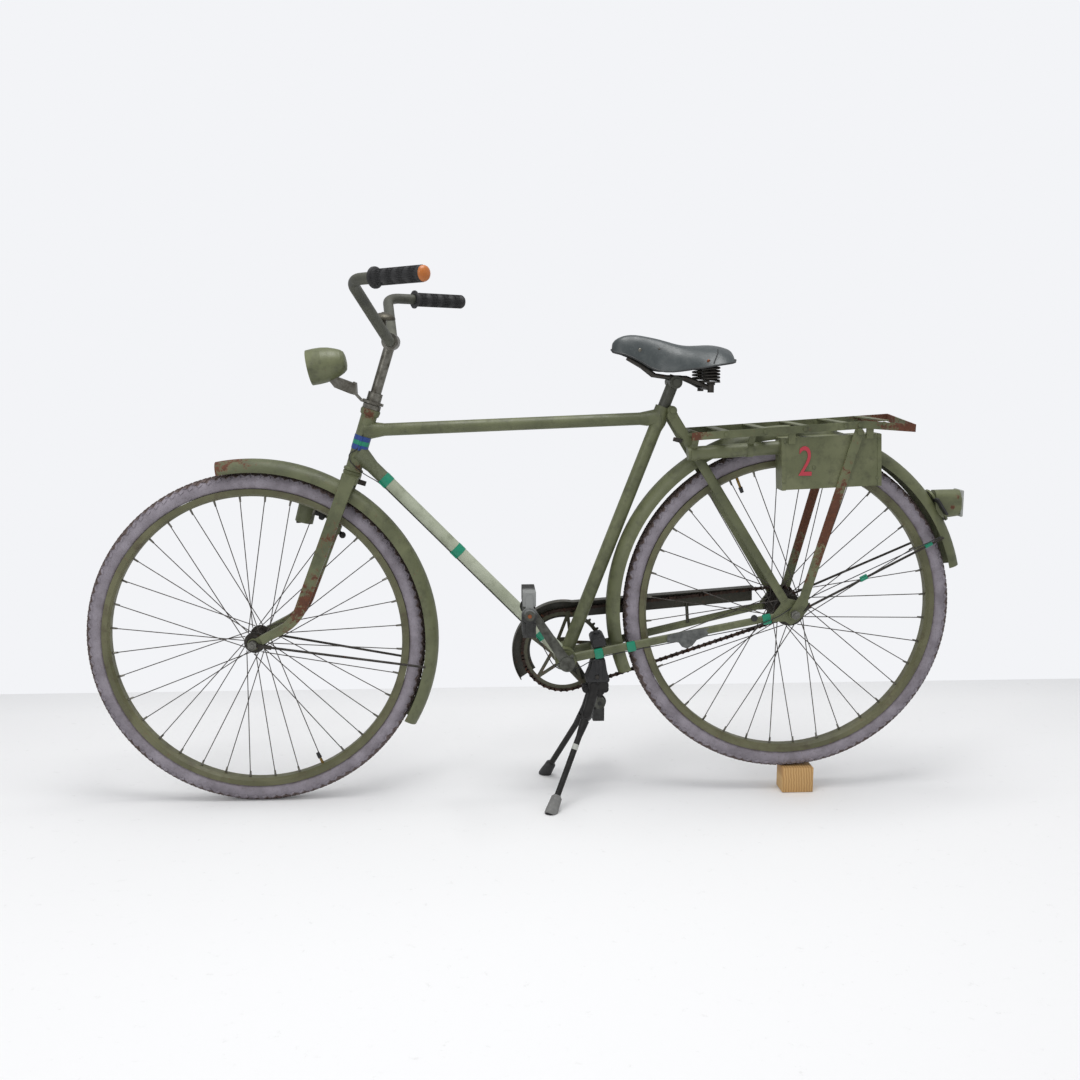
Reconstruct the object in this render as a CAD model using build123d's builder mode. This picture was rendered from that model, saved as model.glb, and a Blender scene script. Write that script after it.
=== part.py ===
"""Military roadster bicycle, parked on its double-leg stand with a wooden block under the rear wheel.

Millimetres and degrees. X points to the bicycle's rear, Y to the rider's right, Z up.
The origin is on the floor, at the middle of the bicycle's length.
"""

import math
import os

from build123d import *

os.makedirs("parts", exist_ok=True)

# Wheels. Spoke tables below give what differs between front and rear.
WHEELBASE = 1120.0
TYRE_WIDTH = 38.0
TYRE_RISE = 32.5
RIM_WIDTH = 32.0
RIM_INNER_RADIUS = 302.0
RIM_DEPTH = 15.5
RIM_FLANGE_RADIUS = RIM_INNER_RADIUS + RIM_DEPTH
WHEEL_RADIUS = RIM_FLANGE_RADIUS + TYRE_RISE
RIM_WELL_DEPTH = 6.5
RIM_WALL = 2.0
SPOKE_COUNT = 36
SPOKE_DIAMETER = 2.0
SPOKE_CROSS_ANGLE = 60.0
SPOKE_RIM_OFFSET = 1.5
AXLE_DIAMETER = 9.5
RUNNING_GAP = 0.05
FACE_GAP = 0.3

# Wooden block that the rear wheel stands on.
BLOCK_HEIGHT = 55.0
BLOCK_LENGTH = 68.0
BLOCK_WIDTH = 50.0
BLOCK_SHIFT = 32.0

# Frame, as it is parked with the rear wheel lifted by the block.
HEAD_LEAN = 17.5
FORK_RAKE = 91.5
FORK_LENGTH = 391.5
HEAD_TUBE_LENGTH = 140.0
HEAD_TUBE_DIAMETER = 33.0
CUP_DIAMETER = 41.0
FLARE = 7.0
FLARE_LENGTH = 24.0
SEAT_LEAN = 21.15
SEAT_TUBE_LENGTH = 565.0
SEAT_TUBE_DIAMETER = 28.0
TOP_TUBE_DIAMETER = 26.0
TOP_TUBE_ON_HEAD = 94.0
TOP_TUBE_BELOW_SEAT = 24.0
TOP_TUBE_ON_SEAT = SEAT_TUBE_LENGTH - TOP_TUBE_BELOW_SEAT
DOWN_TUBE_DIAMETER = 28.0
DOWN_TUBE_ON_HEAD = 46.0
BRACKET_AHEAD = 474.0
BRACKET_BELOW = 100.3
BRACKET_DIAMETER = 46.0
BRACKET_WIDTH = 70.0
DROPOUT_THICKNESS = 5.0
REAR_AXLE_SPAN = 122.0
FRONT_AXLE_SPAN = 100.0

# Fork.
BLADE_TOP_WIDTH = 28.0
BLADE_BEND_WIDTH = 23.0
BLADE_END_WIDTH = 17.0
BLADE_THICKNESS = 18.0
BLADE_TOP_SPREAD = 40.0
CROWN_HEIGHT = 15.0
STEERER_DIAMETER = 25.0
STEERER_TOP = HEAD_TUBE_LENGTH + 30.0
STEM_DIAMETER = 22.0

# Mudguards, half a ring in section.
GUARD_RADIUS = 27.0
GUARD_WALL = 1.5
FRONT_GUARD_CREST = WHEEL_RADIUS + 29.0
FRONT_GUARD_ANGLES = (-30.0, 101.0)
REAR_GUARD_CREST = WHEEL_RADIUS + 33.0
REAR_GUARD_ANGLES = (13.0, 202.0)
REAR_GUARD_SHIFT = (-4.0, 6.0)
STAY_DIAMETER = 5.0

# Handlebar, in the turned frame of the stem: distances from the steering axis.
BAR_DIAMETER = 22.0
BAR_TURN = -5.5
BAR_CLAMP_HEIGHT = 142.0
GRIP_DIAMETER = 31.0
GRIP_LENGTH = 128.0
GRIP_SPLAY = 36.0

# Cranks and chain.
CHAIN_PITCH = 12.7
CHAINRING_TEETH = 44
SPROCKET_TEETH = 18
CHAIN_LINE = 47.0
CRANK_LENGTH = 150.0
CRANK_ANGLE = 123.2
CRANK_OFFSET = 67.0
CRANK_THICKNESS = 12.0
PEDAL_LENGTH = 88.0
PEDAL_HEIGHT = 91.0
PEDAL_BLOCK_WIDTH = 24.0
PLATE_GAP = 5.0
PLATE_WALL = 3.0
PEDAL_BLOCK_HEIGHT = 28.0

# Stand.
STAND_PIVOT_BEHIND = 46.0
STAND_PIVOT_HEIGHT = 178.0
STAND_PIVOT_SIDE = 20.0
FOOT_AHEAD = 36.0
FOOT_SIDE = 117.0
LEG_DIAMETER = 13.0
FOOT_DIAMETER = 22.0
FOOT_LENGTH = 34.0

# Rear rack and what hangs from it, from the rear hub.
RACK_HEIGHT = 378.0
RACK_FRONT = -225.0
RACK_REAR = 232.0
RACK_HALF_WIDTH = 85.0
RAIL_SIZE = 15.5
RAIL_WALL = 2.5
SLAT_PLACES = (-156.0, -76.0, 5.0, 88.0, 167.0)
SLAT_WIDTH = 20.0
SLAT_DROP = 1.6


def polar(centre, radius, angle, side=0.0):
    """A point at a radius and angle round a centre, in the upright plane along the bicycle."""
    turn = math.radians(angle)
    return (centre[0] + radius * math.cos(turn), side, centre[2] + radius * math.sin(turn))


def between(start, end, share):
    """The point that lies a share of the way from start to end."""
    return tuple(a + share * (b - a) for a, b in zip(start, end))


def shifted(point, ahead=0.0, side=0.0, up=0.0):
    """A point moved along the three axes."""
    return (point[0] + ahead, point[1] + side, point[2] + up)


def save(part, label):
    """Name a finished piece and write it out."""
    part.label = label
    export_step(part, f"parts/{label}.step")


def bar(start, end, diameter, mode=Mode.ADD):
    """A round bar from start to end, in the part being built."""
    run = Vector(*end) - Vector(*start)
    with BuildSketch(Plane(origin=start, z_dir=run)) as section:
        Circle(diameter / 2)
    extrude(section.sketch, amount=run.length, mode=mode)


def cone(start, end, start_diameter, end_diameter):
    """A tapered bar from start to end, in the part being built."""
    run = Vector(*end) - Vector(*start)
    with BuildSketch(Plane(origin=start, z_dir=run)) as foot:
        Circle(start_diameter / 2)
    with BuildSketch(Plane(origin=end, z_dir=run)) as head:
        Circle(end_diameter / 2)
    loft([foot.sketch, head.sketch])


def cross_bar(centre, half_length, diameter, mode=Mode.ADD):
    """A round bar across the bicycle, centred on a point."""
    bar(shifted(centre, side=-half_length), shifted(centre, side=half_length), diameter, mode)


def turned(start, direction, stations, mode=Mode.ADD):
    """A turned body along a direction from a table of stations: place along it, radius."""
    along = Vector(*direction).normalized()
    across = Vector(-along.Z, 0, along.X)
    with BuildSketch(Plane(origin=start, x_dir=across, z_dir=across.cross(along))) as half:
        with BuildLine() as outline:
            Polyline(
                (0, stations[0][0]),
                *[(radius, place) for place, radius in stations],
                (0, stations[-1][0]),
                close=True,
            )
        make_face(outline.line)
    revolve(half.sketch, axis=Axis(start, tuple(along)), mode=mode)


def flat_shape(side, points, thickness, mode=Mode.ADD):
    """A flat plate along the bicycle from its outline's points, centred on a place to the right."""
    with BuildSketch(upright_plane(side)) as sheet:
        with BuildLine() as outline:
            Polyline(*points, close=True)
        make_face(outline.line)
    extrude(sheet.sketch, amount=thickness / 2, both=True, mode=mode)


def upright_plane(side=0.0):
    """The plane along the bicycle at a distance to the right, its x to the rear and its y up."""
    return Plane(origin=(0, side, 0), x_dir=(1, 0, 0), z_dir=(0, -1, 0))


def radial_plane(centre):
    """The plane through a wheel's axis, its x the radius and its y the width."""
    return Plane(origin=centre, x_dir=(0, 0, 1), z_dir=(-1, 0, 0))


# Main points, worked out from the sizes above.
GUARD_REACH = REAR_GUARD_SHIFT[0] + REAR_GUARD_CREST * math.cos(math.radians(REAR_GUARD_ANGLES[0]))
FRONT_X = (WHEEL_RADIUS - WHEELBASE - GUARD_REACH) / 2
FRONT_HUB = (FRONT_X, 0.0, WHEEL_RADIUS)
REAR_HUB = (FRONT_X + WHEELBASE, 0.0, WHEEL_RADIUS + BLOCK_HEIGHT + FACE_GAP)
BRACKET = shifted(REAR_HUB, ahead=-BRACKET_AHEAD, up=-BRACKET_BELOW)
HEAD_UP = (math.sin(math.radians(HEAD_LEAN)), 0.0, math.cos(math.radians(HEAD_LEAN)))
HEAD_BACK = (HEAD_UP[2], 0.0, -HEAD_UP[0])
SEAT_UP = (math.sin(math.radians(SEAT_LEAN)), 0.0, math.cos(math.radians(SEAT_LEAN)))
HEAD_FOOT = shifted(
    FRONT_HUB,
    ahead=FORK_RAKE * HEAD_BACK[0] + FORK_LENGTH * HEAD_UP[0],
    up=FORK_RAKE * HEAD_BACK[2] + FORK_LENGTH * HEAD_UP[2],
)


def on_head(distance, back=0.0, side=0.0):
    """A point on the steering axis above the head tube's foot, or behind and beside it."""
    return (
        HEAD_FOOT[0] + distance * HEAD_UP[0] + back * HEAD_BACK[0],
        side,
        HEAD_FOOT[2] + distance * HEAD_UP[2] + back * HEAD_BACK[2],
    )


def on_seat(distance, side=0.0):
    """A point on the seat tube's axis above the bottom bracket."""
    return (BRACKET[0] + distance * SEAT_UP[0], side, BRACKET[2] + distance * SEAT_UP[2])


HEAD_TOP = on_head(HEAD_TUBE_LENGTH)
SEAT_TOP = on_seat(SEAT_TUBE_LENGTH)
GUARD_CENTRE = shifted(REAR_HUB, ahead=REAR_GUARD_SHIFT[0], up=REAR_GUARD_SHIFT[1])
CHAINRING_RADIUS = CHAIN_PITCH / (2 * math.sin(math.pi / CHAINRING_TEETH))
SPROCKET_RADIUS = CHAIN_PITCH / (2 * math.sin(math.pi / SPROCKET_TEETH))


# Wheels


def build_tyre(hub, label):
    """The tyre with its bead seated in the rim's well."""
    section_radius = WHEEL_RADIUS - TYRE_WIDTH / 2
    bead_foot = RIM_INNER_RADIUS + RIM_WELL_DEPTH + FACE_GAP
    bead_half = RIM_WIDTH / 2 - RIM_WALL - FACE_GAP
    bead_top = RIM_FLANGE_RADIUS + 2.0
    with BuildPart() as tyre:
        with BuildSketch(radial_plane(hub)):
            with Locations((section_radius, 0)):
                Circle(TYRE_WIDTH / 2)
            with Locations(((RIM_FLANGE_RADIUS + FACE_GAP) / 2, 0)):
                Rectangle(RIM_FLANGE_RADIUS + FACE_GAP, TYRE_WIDTH, mode=Mode.SUBTRACT)
            with Locations(((bead_foot + bead_top) / 2, 0)):
                Rectangle(bead_top - bead_foot, 2 * bead_half)
        revolve(axis=Axis(hub, (0, 1, 0)))
    save(tyre.part, label)


def build_rim(hub, label):
    """The rim, a shallow trough with a flange on each side."""
    half = RIM_WIDTH / 2
    well = RIM_INNER_RADIUS + RIM_WELL_DEPTH
    nose_half = 9.0
    shoulder = RIM_INNER_RADIUS + 5.0
    with BuildPart() as rim:
        with BuildSketch(radial_plane(hub)):
            with BuildLine():
                Polyline(
                    (RIM_INNER_RADIUS, -nose_half),
                    (RIM_INNER_RADIUS, nose_half),
                    (shoulder, half),
                    (RIM_FLANGE_RADIUS, half),
                    (RIM_FLANGE_RADIUS, half - RIM_WALL),
                    (well, half - RIM_WALL),
                    (well, RIM_WALL - half),
                    (RIM_FLANGE_RADIUS, RIM_WALL - half),
                    (RIM_FLANGE_RADIUS, -half),
                    (shoulder, -half),
                    close=True,
                )
            make_face()
        revolve(axis=Axis(hub, (0, 1, 0)))
    save(rim.part, label)


def build_spokes(hub, flange_radius, flange_left, flange_right, flange_wall, label):
    """Thirty-six crossed spokes, inside and outside the flanges by turns."""
    outset = flange_wall / 2 + SPOKE_DIAMETER / 2 + FACE_GAP
    start_radius = flange_radius + SPOKE_DIAMETER / 2 + FACE_GAP
    pitch_radius = flange_radius - 4.0
    end_radius = RIM_INNER_RADIUS - 2 * FACE_GAP
    with BuildPart() as spokes:
        for number in range(SPOKE_COUNT):
            side = -1 if number % 2 == 0 else 1
            lead = 1 if (number // 2) % 2 == 0 else -1
            rim_angle = number * 360 / SPOKE_COUNT + 5.0
            flange_side = -flange_left if side < 0 else flange_right
            head = polar(
                hub, pitch_radius, rim_angle + lead * SPOKE_CROSS_ANGLE, flange_side + lead * outset
            )
            nipple = polar(hub, RIM_INNER_RADIUS, rim_angle, side * SPOKE_RIM_OFFSET)
            shares = [
                share_at_radius(hub, head, nipple, radius) for radius in (start_radius, end_radius)
            ]
            bar(between(head, nipple, shares[0]), between(head, nipple, shares[1]), SPOKE_DIAMETER)
    save(spokes.part, label)


def share_at_radius(hub, start, end, radius):
    """How far along a line from start to end it lies at a radius from the hub's axis."""
    from_hub = (start[0] - hub[0], start[2] - hub[2])
    run = (end[0] - start[0], end[2] - start[2])
    a = run[0] ** 2 + run[1] ** 2
    b = 2 * (from_hub[0] * run[0] + from_hub[1] * run[1])
    c = from_hub[0] ** 2 + from_hub[1] ** 2 - radius**2
    return (-b + math.sqrt(b * b - 4 * a * c)) / (2 * a)


def build_hub(hub, stations, label):
    """A turned hub from a table of stations across it: place to the right, radius."""
    bore = AXLE_DIAMETER / 2 + RUNNING_GAP
    with BuildPart() as shell:
        with BuildSketch(radial_plane(hub)):
            with BuildLine():
                Polyline(
                    (bore, stations[0][0]),
                    *[(radius, side) for side, radius in stations],
                    (bore, stations[-1][0]),
                    close=True,
                )
            make_face()
        revolve(axis=Axis(hub, (0, 1, 0)))
    save(shell.part, label)


FRONT_FLANGE = 33.0
FRONT_FLANGE_RADIUS = 22.0
REAR_FLANGE_LEFT = 33.0
REAR_FLANGE_RIGHT = 27.0
REAR_FLANGE_RADIUS = 33.0
FLANGE_WALL = 3.0

# Hub stations: place to the right, radius.
FRONT_HUB_STATIONS = (
    (-41.0, 9.0),
    (-41.0, 13.0),
    (-FRONT_FLANGE - FLANGE_WALL / 2, 16.0),
    (-FRONT_FLANGE - FLANGE_WALL / 2, FRONT_FLANGE_RADIUS),
    (-FRONT_FLANGE + FLANGE_WALL / 2, FRONT_FLANGE_RADIUS),
    (-FRONT_FLANGE + FLANGE_WALL / 2, 14.0),
    (-20.0, 11.0),
    (20.0, 11.0),
    (FRONT_FLANGE - FLANGE_WALL / 2, 14.0),
    (FRONT_FLANGE - FLANGE_WALL / 2, FRONT_FLANGE_RADIUS),
    (FRONT_FLANGE + FLANGE_WALL / 2, FRONT_FLANGE_RADIUS),
    (FRONT_FLANGE + FLANGE_WALL / 2, 16.0),
    (41.0, 13.0),
    (41.0, 9.0),
)
REAR_HUB_STATIONS = (
    (-46.0, 12.0),
    (-46.0, 21.0),
    (-REAR_FLANGE_LEFT - FLANGE_WALL / 2, 26.0),
    (-REAR_FLANGE_LEFT - FLANGE_WALL / 2, REAR_FLANGE_RADIUS),
    (-REAR_FLANGE_LEFT + FLANGE_WALL / 2, REAR_FLANGE_RADIUS),
    (-REAR_FLANGE_LEFT + FLANGE_WALL / 2, 26.0),
    (REAR_FLANGE_RIGHT - FLANGE_WALL / 2, 23.0),
    (REAR_FLANGE_RIGHT - FLANGE_WALL / 2, REAR_FLANGE_RADIUS),
    (REAR_FLANGE_RIGHT + FLANGE_WALL / 2, REAR_FLANGE_RADIUS),
    (REAR_FLANGE_RIGHT + FLANGE_WALL / 2, 22.0),
    (34.0, 20.0),
    (34.0, 12.0),
)

for hub, name in ((FRONT_HUB, "front"), (REAR_HUB, "rear")):
    build_tyre(hub, f"{name}_tyre")
    build_rim(hub, f"{name}_rim")
build_spokes(
    FRONT_HUB, FRONT_FLANGE_RADIUS, FRONT_FLANGE, FRONT_FLANGE, FLANGE_WALL, "front_spokes"
)
build_spokes(
    REAR_HUB, REAR_FLANGE_RADIUS, REAR_FLANGE_LEFT, REAR_FLANGE_RIGHT, FLANGE_WALL, "rear_spokes"
)
build_hub(FRONT_HUB, FRONT_HUB_STATIONS, "front_hub")
build_hub(REAR_HUB, REAR_HUB_STATIONS, "rear_hub")


def build_axle(hub, half_span, nut_sides, label):
    """An axle with a nut outside each fork end: place of each nut's inner face, its thickness."""
    nut_across = 17.0
    with BuildPart() as axle:
        cross_bar(hub, half_span, AXLE_DIAMETER)
        for inner, thickness in nut_sides:
            for side in (-1, 1):
                face = shifted(hub, side=side * (inner + (thickness if side < 0 else 0)))
                with BuildSketch(Plane(origin=face, z_dir=(0, 1, 0))):
                    RegularPolygon(nut_across / 2, 6, major_radius=False)
                extrude(amount=thickness)
    save(axle.part, label)


STRUT_TAB = 4.0
FRONT_NUT_SIDE = FRONT_AXLE_SPAN / 2 + DROPOUT_THICKNESS / 2 + STAY_DIAMETER + 2 * FACE_GAP
REAR_NUT_SIDE = REAR_AXLE_SPAN / 2 + DROPOUT_THICKNESS / 2 + STAY_DIAMETER + STRUT_TAB + 3 * FACE_GAP
build_axle(FRONT_HUB, FRONT_NUT_SIDE + 12.0, ((FRONT_NUT_SIDE, 9.0),), "front_axle")
build_axle(REAR_HUB, REAR_NUT_SIDE + 13.0, ((REAR_NUT_SIDE, 10.0),), "rear_axle")

# Frame tubes

# Head tube stations from its foot: place, radius. A cup at each end.
HEAD_TUBE_STATIONS = (
    (0.0, 17.5),
    (0.0, 19.5),
    (5.0, 19.5),
    (6.5, 18.0),
    (8.0, 20.0),
    (12.0, 20.0),
    (14.5, HEAD_TUBE_DIAMETER / 2),
    (HEAD_TUBE_LENGTH - 15.0, HEAD_TUBE_DIAMETER / 2),
    (HEAD_TUBE_LENGTH - 12.0, 19.5),
    (HEAD_TUBE_LENGTH - 4.0, CUP_DIAMETER / 2),
    (HEAD_TUBE_LENGTH - 1.0, 19.5),
    (HEAD_TUBE_LENGTH, 18.0),
)
with BuildPart() as head_tube:
    turned(HEAD_FOOT, HEAD_UP, HEAD_TUBE_STATIONS)
    bar(HEAD_FOOT, HEAD_TOP, STEERER_DIAMETER + 2 * FACE_GAP, mode=Mode.SUBTRACT)
save(head_tube.part, "head_tube")

SEAT_BOLT = shifted(SEAT_TOP, ahead=14.0, up=-6.0)
with BuildPart() as seat_tube:
    bar(BRACKET, SEAT_TOP, SEAT_TUBE_DIAMETER)
    bar(on_seat(SEAT_TUBE_LENGTH - 34.0), SEAT_TOP, SEAT_TUBE_DIAMETER + 6.0)
    cone(
        on_seat(SEAT_TUBE_LENGTH - 48.0),
        on_seat(SEAT_TUBE_LENGTH - 34.0),
        SEAT_TUBE_DIAMETER,
        SEAT_TUBE_DIAMETER + 6.0,
    )
    cross_bar(BRACKET, BRACKET_WIDTH / 2, BRACKET_DIAMETER, mode=Mode.SUBTRACT)
save(seat_tube.part, "seat_tube")


def flare(end, other, diameter):
    """A short widening of a tube towards the tube it joins, in the part being built."""
    foot = between(end, other, (FLARE_LENGTH + HEAD_TUBE_DIAMETER / 2) / math.dist(end, other))
    cone(end, foot, diameter + 2 * FLARE, diameter)


with BuildPart() as top_tube:
    ends = (on_head(TOP_TUBE_ON_HEAD), on_seat(TOP_TUBE_ON_SEAT))
    bar(*ends, TOP_TUBE_DIAMETER)
    flare(ends[0], ends[1], TOP_TUBE_DIAMETER)
    flare(ends[1], ends[0], TOP_TUBE_DIAMETER)
    add(head_tube.part, mode=Mode.SUBTRACT)
    bar(HEAD_FOOT, HEAD_TOP, HEAD_TUBE_DIAMETER, mode=Mode.SUBTRACT)
    bar(BRACKET, on_seat(SEAT_TUBE_LENGTH + 30.0), SEAT_TUBE_DIAMETER + 6.0, mode=Mode.SUBTRACT)
    bar(ends[1], shifted(ends[1], ahead=60.0, up=6.0), 60.0, mode=Mode.SUBTRACT)
save(top_tube.part, "top_tube")

with BuildPart() as down_tube:
    ends = (on_head(DOWN_TUBE_ON_HEAD), BRACKET)
    bar(*ends, DOWN_TUBE_DIAMETER)
    flare(ends[0], ends[1], DOWN_TUBE_DIAMETER)
    add(head_tube.part, mode=Mode.SUBTRACT)
    bar(HEAD_FOOT, HEAD_TOP, HEAD_TUBE_DIAMETER, mode=Mode.SUBTRACT)
    cross_bar(BRACKET, BRACKET_WIDTH / 2, BRACKET_DIAMETER, mode=Mode.SUBTRACT)
    bar(BRACKET, SEAT_TOP, SEAT_TUBE_DIAMETER, mode=Mode.SUBTRACT)
save(down_tube.part, "down_tube")

SPINDLE_DIAMETER = 16.0
CUP_RING = 5.0
with BuildPart() as bottom_bracket:
    cross_bar(BRACKET, BRACKET_WIDTH / 2, BRACKET_DIAMETER)
    cross_bar(BRACKET, BRACKET_WIDTH / 2 + CUP_RING, BRACKET_DIAMETER - 8.0)
    cross_bar(BRACKET, BRACKET_WIDTH, SPINDLE_DIAMETER + 2 * RUNNING_GAP, mode=Mode.SUBTRACT)
save(bottom_bracket.part, "bottom_bracket")

REAR_END_SIDE = REAR_AXLE_SPAN / 2


# Chain stay stations on the right: behind the bracket, to the side, height, width.
CHAIN_STAY_STATIONS = (
    (12.0, 30.0, 20.0, 14.0),
    (112.0, 34.5, 18.0, 9.5),
    (438.0, REAR_END_SIDE - 3.0, 15.0, 9.0),
)
STAY_SLOPE = BRACKET_BELOW / BRACKET_AHEAD
# Dropout plate outline, from the rear hub: behind, above.
DROPOUT_OUTLINE = (
    (-27.0, 30.0),
    (-10.9, 31.0),
    (8.0, 26.4),
    (27.0, 18.0),
    (34.0, 22.0),
    (36.0, 13.0),
    (17.4, -9.0),
    (9.5, -17.0),
    (-5.0, -25.0),
    (-17.5, -17.0),
    (-44.5, -18.0),
    (-40.0, 1.0),
    (-27.0, 18.6),
)
with BuildPart() as chain_stays:
    for side in (-1, 1):
        sections = []
        for behind, out, height, width in CHAIN_STAY_STATIONS:
            spot = shifted(BRACKET, ahead=behind, side=side * out, up=behind * STAY_SLOPE)
            across = Plane(origin=spot, x_dir=(0, 1, 0), z_dir=(1, 0, STAY_SLOPE))
            with BuildSketch(across) as section:
                Ellipse(width / 2, height / 2)
            sections.append(section.sketch)
        loft(sections, ruled=True)
        dropout = [(REAR_HUB[0] + back, REAR_HUB[2] + up) for back, up in DROPOUT_OUTLINE]
        flat_shape(side * REAR_END_SIDE, dropout, DROPOUT_THICKNESS)
        end = shifted(REAR_HUB, side=side * REAR_END_SIDE)
        bar(shifted(end, side=-9.0), shifted(end, side=9.0), AXLE_DIAMETER + 2 * FACE_GAP, mode=Mode.SUBTRACT)
    cross_bar(shifted(BRACKET, ahead=62.0, up=62.0 * STAY_SLOPE), 31.0, 12.0)
    cross_bar(BRACKET, BRACKET_WIDTH, BRACKET_DIAMETER, mode=Mode.SUBTRACT)
save(chain_stays.part, "chain_stays")

SEAT_STAY_TOP_SIDE = 24.0
STAY_HOLD_SIDE = 28.0
SEAT_STAY_TOP_SIZE = (22.0, 10.0)
SEAT_STAY_END_SIZE = (18.0, 8.0)
SEAT_STAY_TOP = shifted(SEAT_TOP, ahead=15.0, up=-17.0)
with BuildPart() as seat_stays:
    for side in (-1, 1):
        top = shifted(SEAT_STAY_TOP, side=side * SEAT_STAY_TOP_SIDE)
        end = shifted(REAR_HUB, side=side * REAR_END_SIDE)
        foot = between(shifted(end, ahead=-18.0, up=24.0), top, 0.01)
        run = Vector(*foot) - Vector(*top)
        with BuildSketch(Plane(origin=top, x_dir=(run.Z, 0, -run.X), z_dir=run)) as upper:
            Ellipse(SEAT_STAY_TOP_SIZE[0] / 2, SEAT_STAY_TOP_SIZE[1] / 2)
        with BuildSketch(Plane(origin=foot, x_dir=(run.Z, 0, -run.X), z_dir=run)) as lower:
            Ellipse(SEAT_STAY_END_SIZE[0] / 2, SEAT_STAY_END_SIZE[1] / 2)
        loft([upper.sketch, lower.sketch], ruled=True)
        cross_bar(top, SEAT_STAY_TOP_SIZE[1] / 2, SEAT_STAY_TOP_SIZE[0])
    cross_bar(SEAT_BOLT, SEAT_STAY_TOP_SIDE + 6.0, 19.0)
    cross_bar(SEAT_BOLT, SEAT_STAY_TOP_SIDE + 11.0, 11.0)
    cross_bar(SEAT_STAY_TOP, SEAT_STAY_TOP_SIDE, 14.0)
    bar(BRACKET, on_seat(SEAT_TUBE_LENGTH + 40.0), SEAT_TUBE_DIAMETER + 6.0, mode=Mode.SUBTRACT)
    add(chain_stays.part, mode=Mode.SUBTRACT)
save(seat_stays.part, "seat_stays")

# Saddle and its post

SEAT_POST_DIAMETER = 25.0
SEAT_POST_RISE = 68.0
with BuildPart() as seat_post:
    bar(SEAT_TOP, on_seat(SEAT_TUBE_LENGTH + SEAT_POST_RISE), SEAT_POST_DIAMETER)
    cross_bar(on_seat(SEAT_TUBE_LENGTH + SEAT_POST_RISE - 13.0), 34.0, 26.0)
    cross_bar(on_seat(SEAT_TUBE_LENGTH + SEAT_POST_RISE - 13.0), 40.0, 15.0)
save(seat_post.part, "seat_post")

CLAMP = on_seat(SEAT_TUBE_LENGTH + SEAT_POST_RISE - 13.0)
# Saddle cover sections: place behind the clamp, width, bottom and top above the clamp.
SADDLE_SECTIONS = (
    (-129.0, 26.0, 62.0, 78.0),
    (-118.0, 44.0, 60.0, 89.0),
    (-100.0, 54.0, 56.0, 96.0),
    (-71.0, 62.0, 42.0, 95.0),
    (-40.0, 78.0, 26.0, 88.0),
    (0.0, 118.0, 24.0, 78.0),
    (31.0, 160.0, 29.0, 75.0),
    (69.0, 208.0, 34.0, 76.0),
    (94.0, 204.0, 38.0, 73.0),
    (110.0, 168.0, 40.0, 67.0),
)
with BuildPart() as saddle_cover:
    for place, width, bottom, top in SADDLE_SECTIONS:
        with BuildSketch(
            Plane(
                origin=shifted(CLAMP, ahead=place, up=(bottom + top) / 2),
                x_dir=(0, 1, 0),
                z_dir=(1, 0, 0),
            )
        ):
            RectangleRounded(width, top - bottom, (top - bottom) * 0.45)
    loft(ruled=True)
save(saddle_cover.part, "saddle_cover")

SPRING_SIDE = 55.0
SPRING_PLACE = 67.0
SPRING_FOOT = 2.0
SPRING_DIAMETER = 38.0
SPRING_WIRE = 4.5
SPRING_TURNS = 4
RAIL_WIDTH = 9.0
CLAMP_DIAMETER = 26.0
# Saddle rail on the right: behind the clamp, to the side, above the clamp.
SADDLE_RAIL = (
    (-96.0, 8.0, 49.0),
    (-66.0, 12.0, 32.0),
    (-42.0, 19.0, 14.0),
    (-15.0, 24.0, 10.0),
    (20.0, 34.0, 9.0),
    (45.0, 46.0, -1.0),
    (SPRING_PLACE, SPRING_SIDE, -12.0),
)
with BuildPart() as saddle_underframe:
    for side in (-1, 1):
        spots = [shifted(CLAMP, ahead=back, side=side * out, up=up) for back, out, up in SADDLE_RAIL]
        for number, spot in enumerate(spots[1:]):
            bar(spots[number], spot, RAIL_WIDTH)
            with Locations(spot):
                Sphere(RAIL_WIDTH / 2)
        foot = spots[-1]
        seat = shifted(CLAMP, ahead=SPRING_PLACE, side=side * SPRING_SIDE, up=SPRING_FOOT - FACE_GAP)
        bar(shifted(foot, up=-8.0), seat, 13.0)
    cross_bar(shifted(CLAMP, ahead=SPRING_PLACE, up=-12.0), SPRING_SIDE, RAIL_WIDTH - 1.0)
    cross_bar(shifted(CLAMP, ahead=-66.0, up=32.0), 12.0, RAIL_WIDTH)
    cross_bar(CLAMP, 60.0, CLAMP_DIAMETER + FACE_GAP, mode=Mode.SUBTRACT)
save(saddle_underframe.part, "saddle_underframe")

with BuildPart() as saddle_springs:
    for side in (-1, 1):
        foot = shifted(CLAMP, ahead=SPRING_PLACE, side=side * SPRING_SIDE, up=SPRING_FOOT)
        head = shifted(foot, up=60.0)
        bar(foot, head, 16.0)
        for turn in range(SPRING_TURNS):
            ring = shifted(foot, up=SPRING_WIRE / 2 + turn * 8.5)
            with Locations(ring):
                Cylinder(SPRING_DIAMETER / 2, SPRING_WIRE)
    add(saddle_cover.part, mode=Mode.SUBTRACT)
    add(saddle_underframe.part, mode=Mode.SUBTRACT)
    with Locations(shifted(CLAMP, up=130.0)):
        Box(400.0, 300.0, 120.0, mode=Mode.SUBTRACT)
save(saddle_springs.part, "saddle_springs")


# Mudguards


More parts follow.
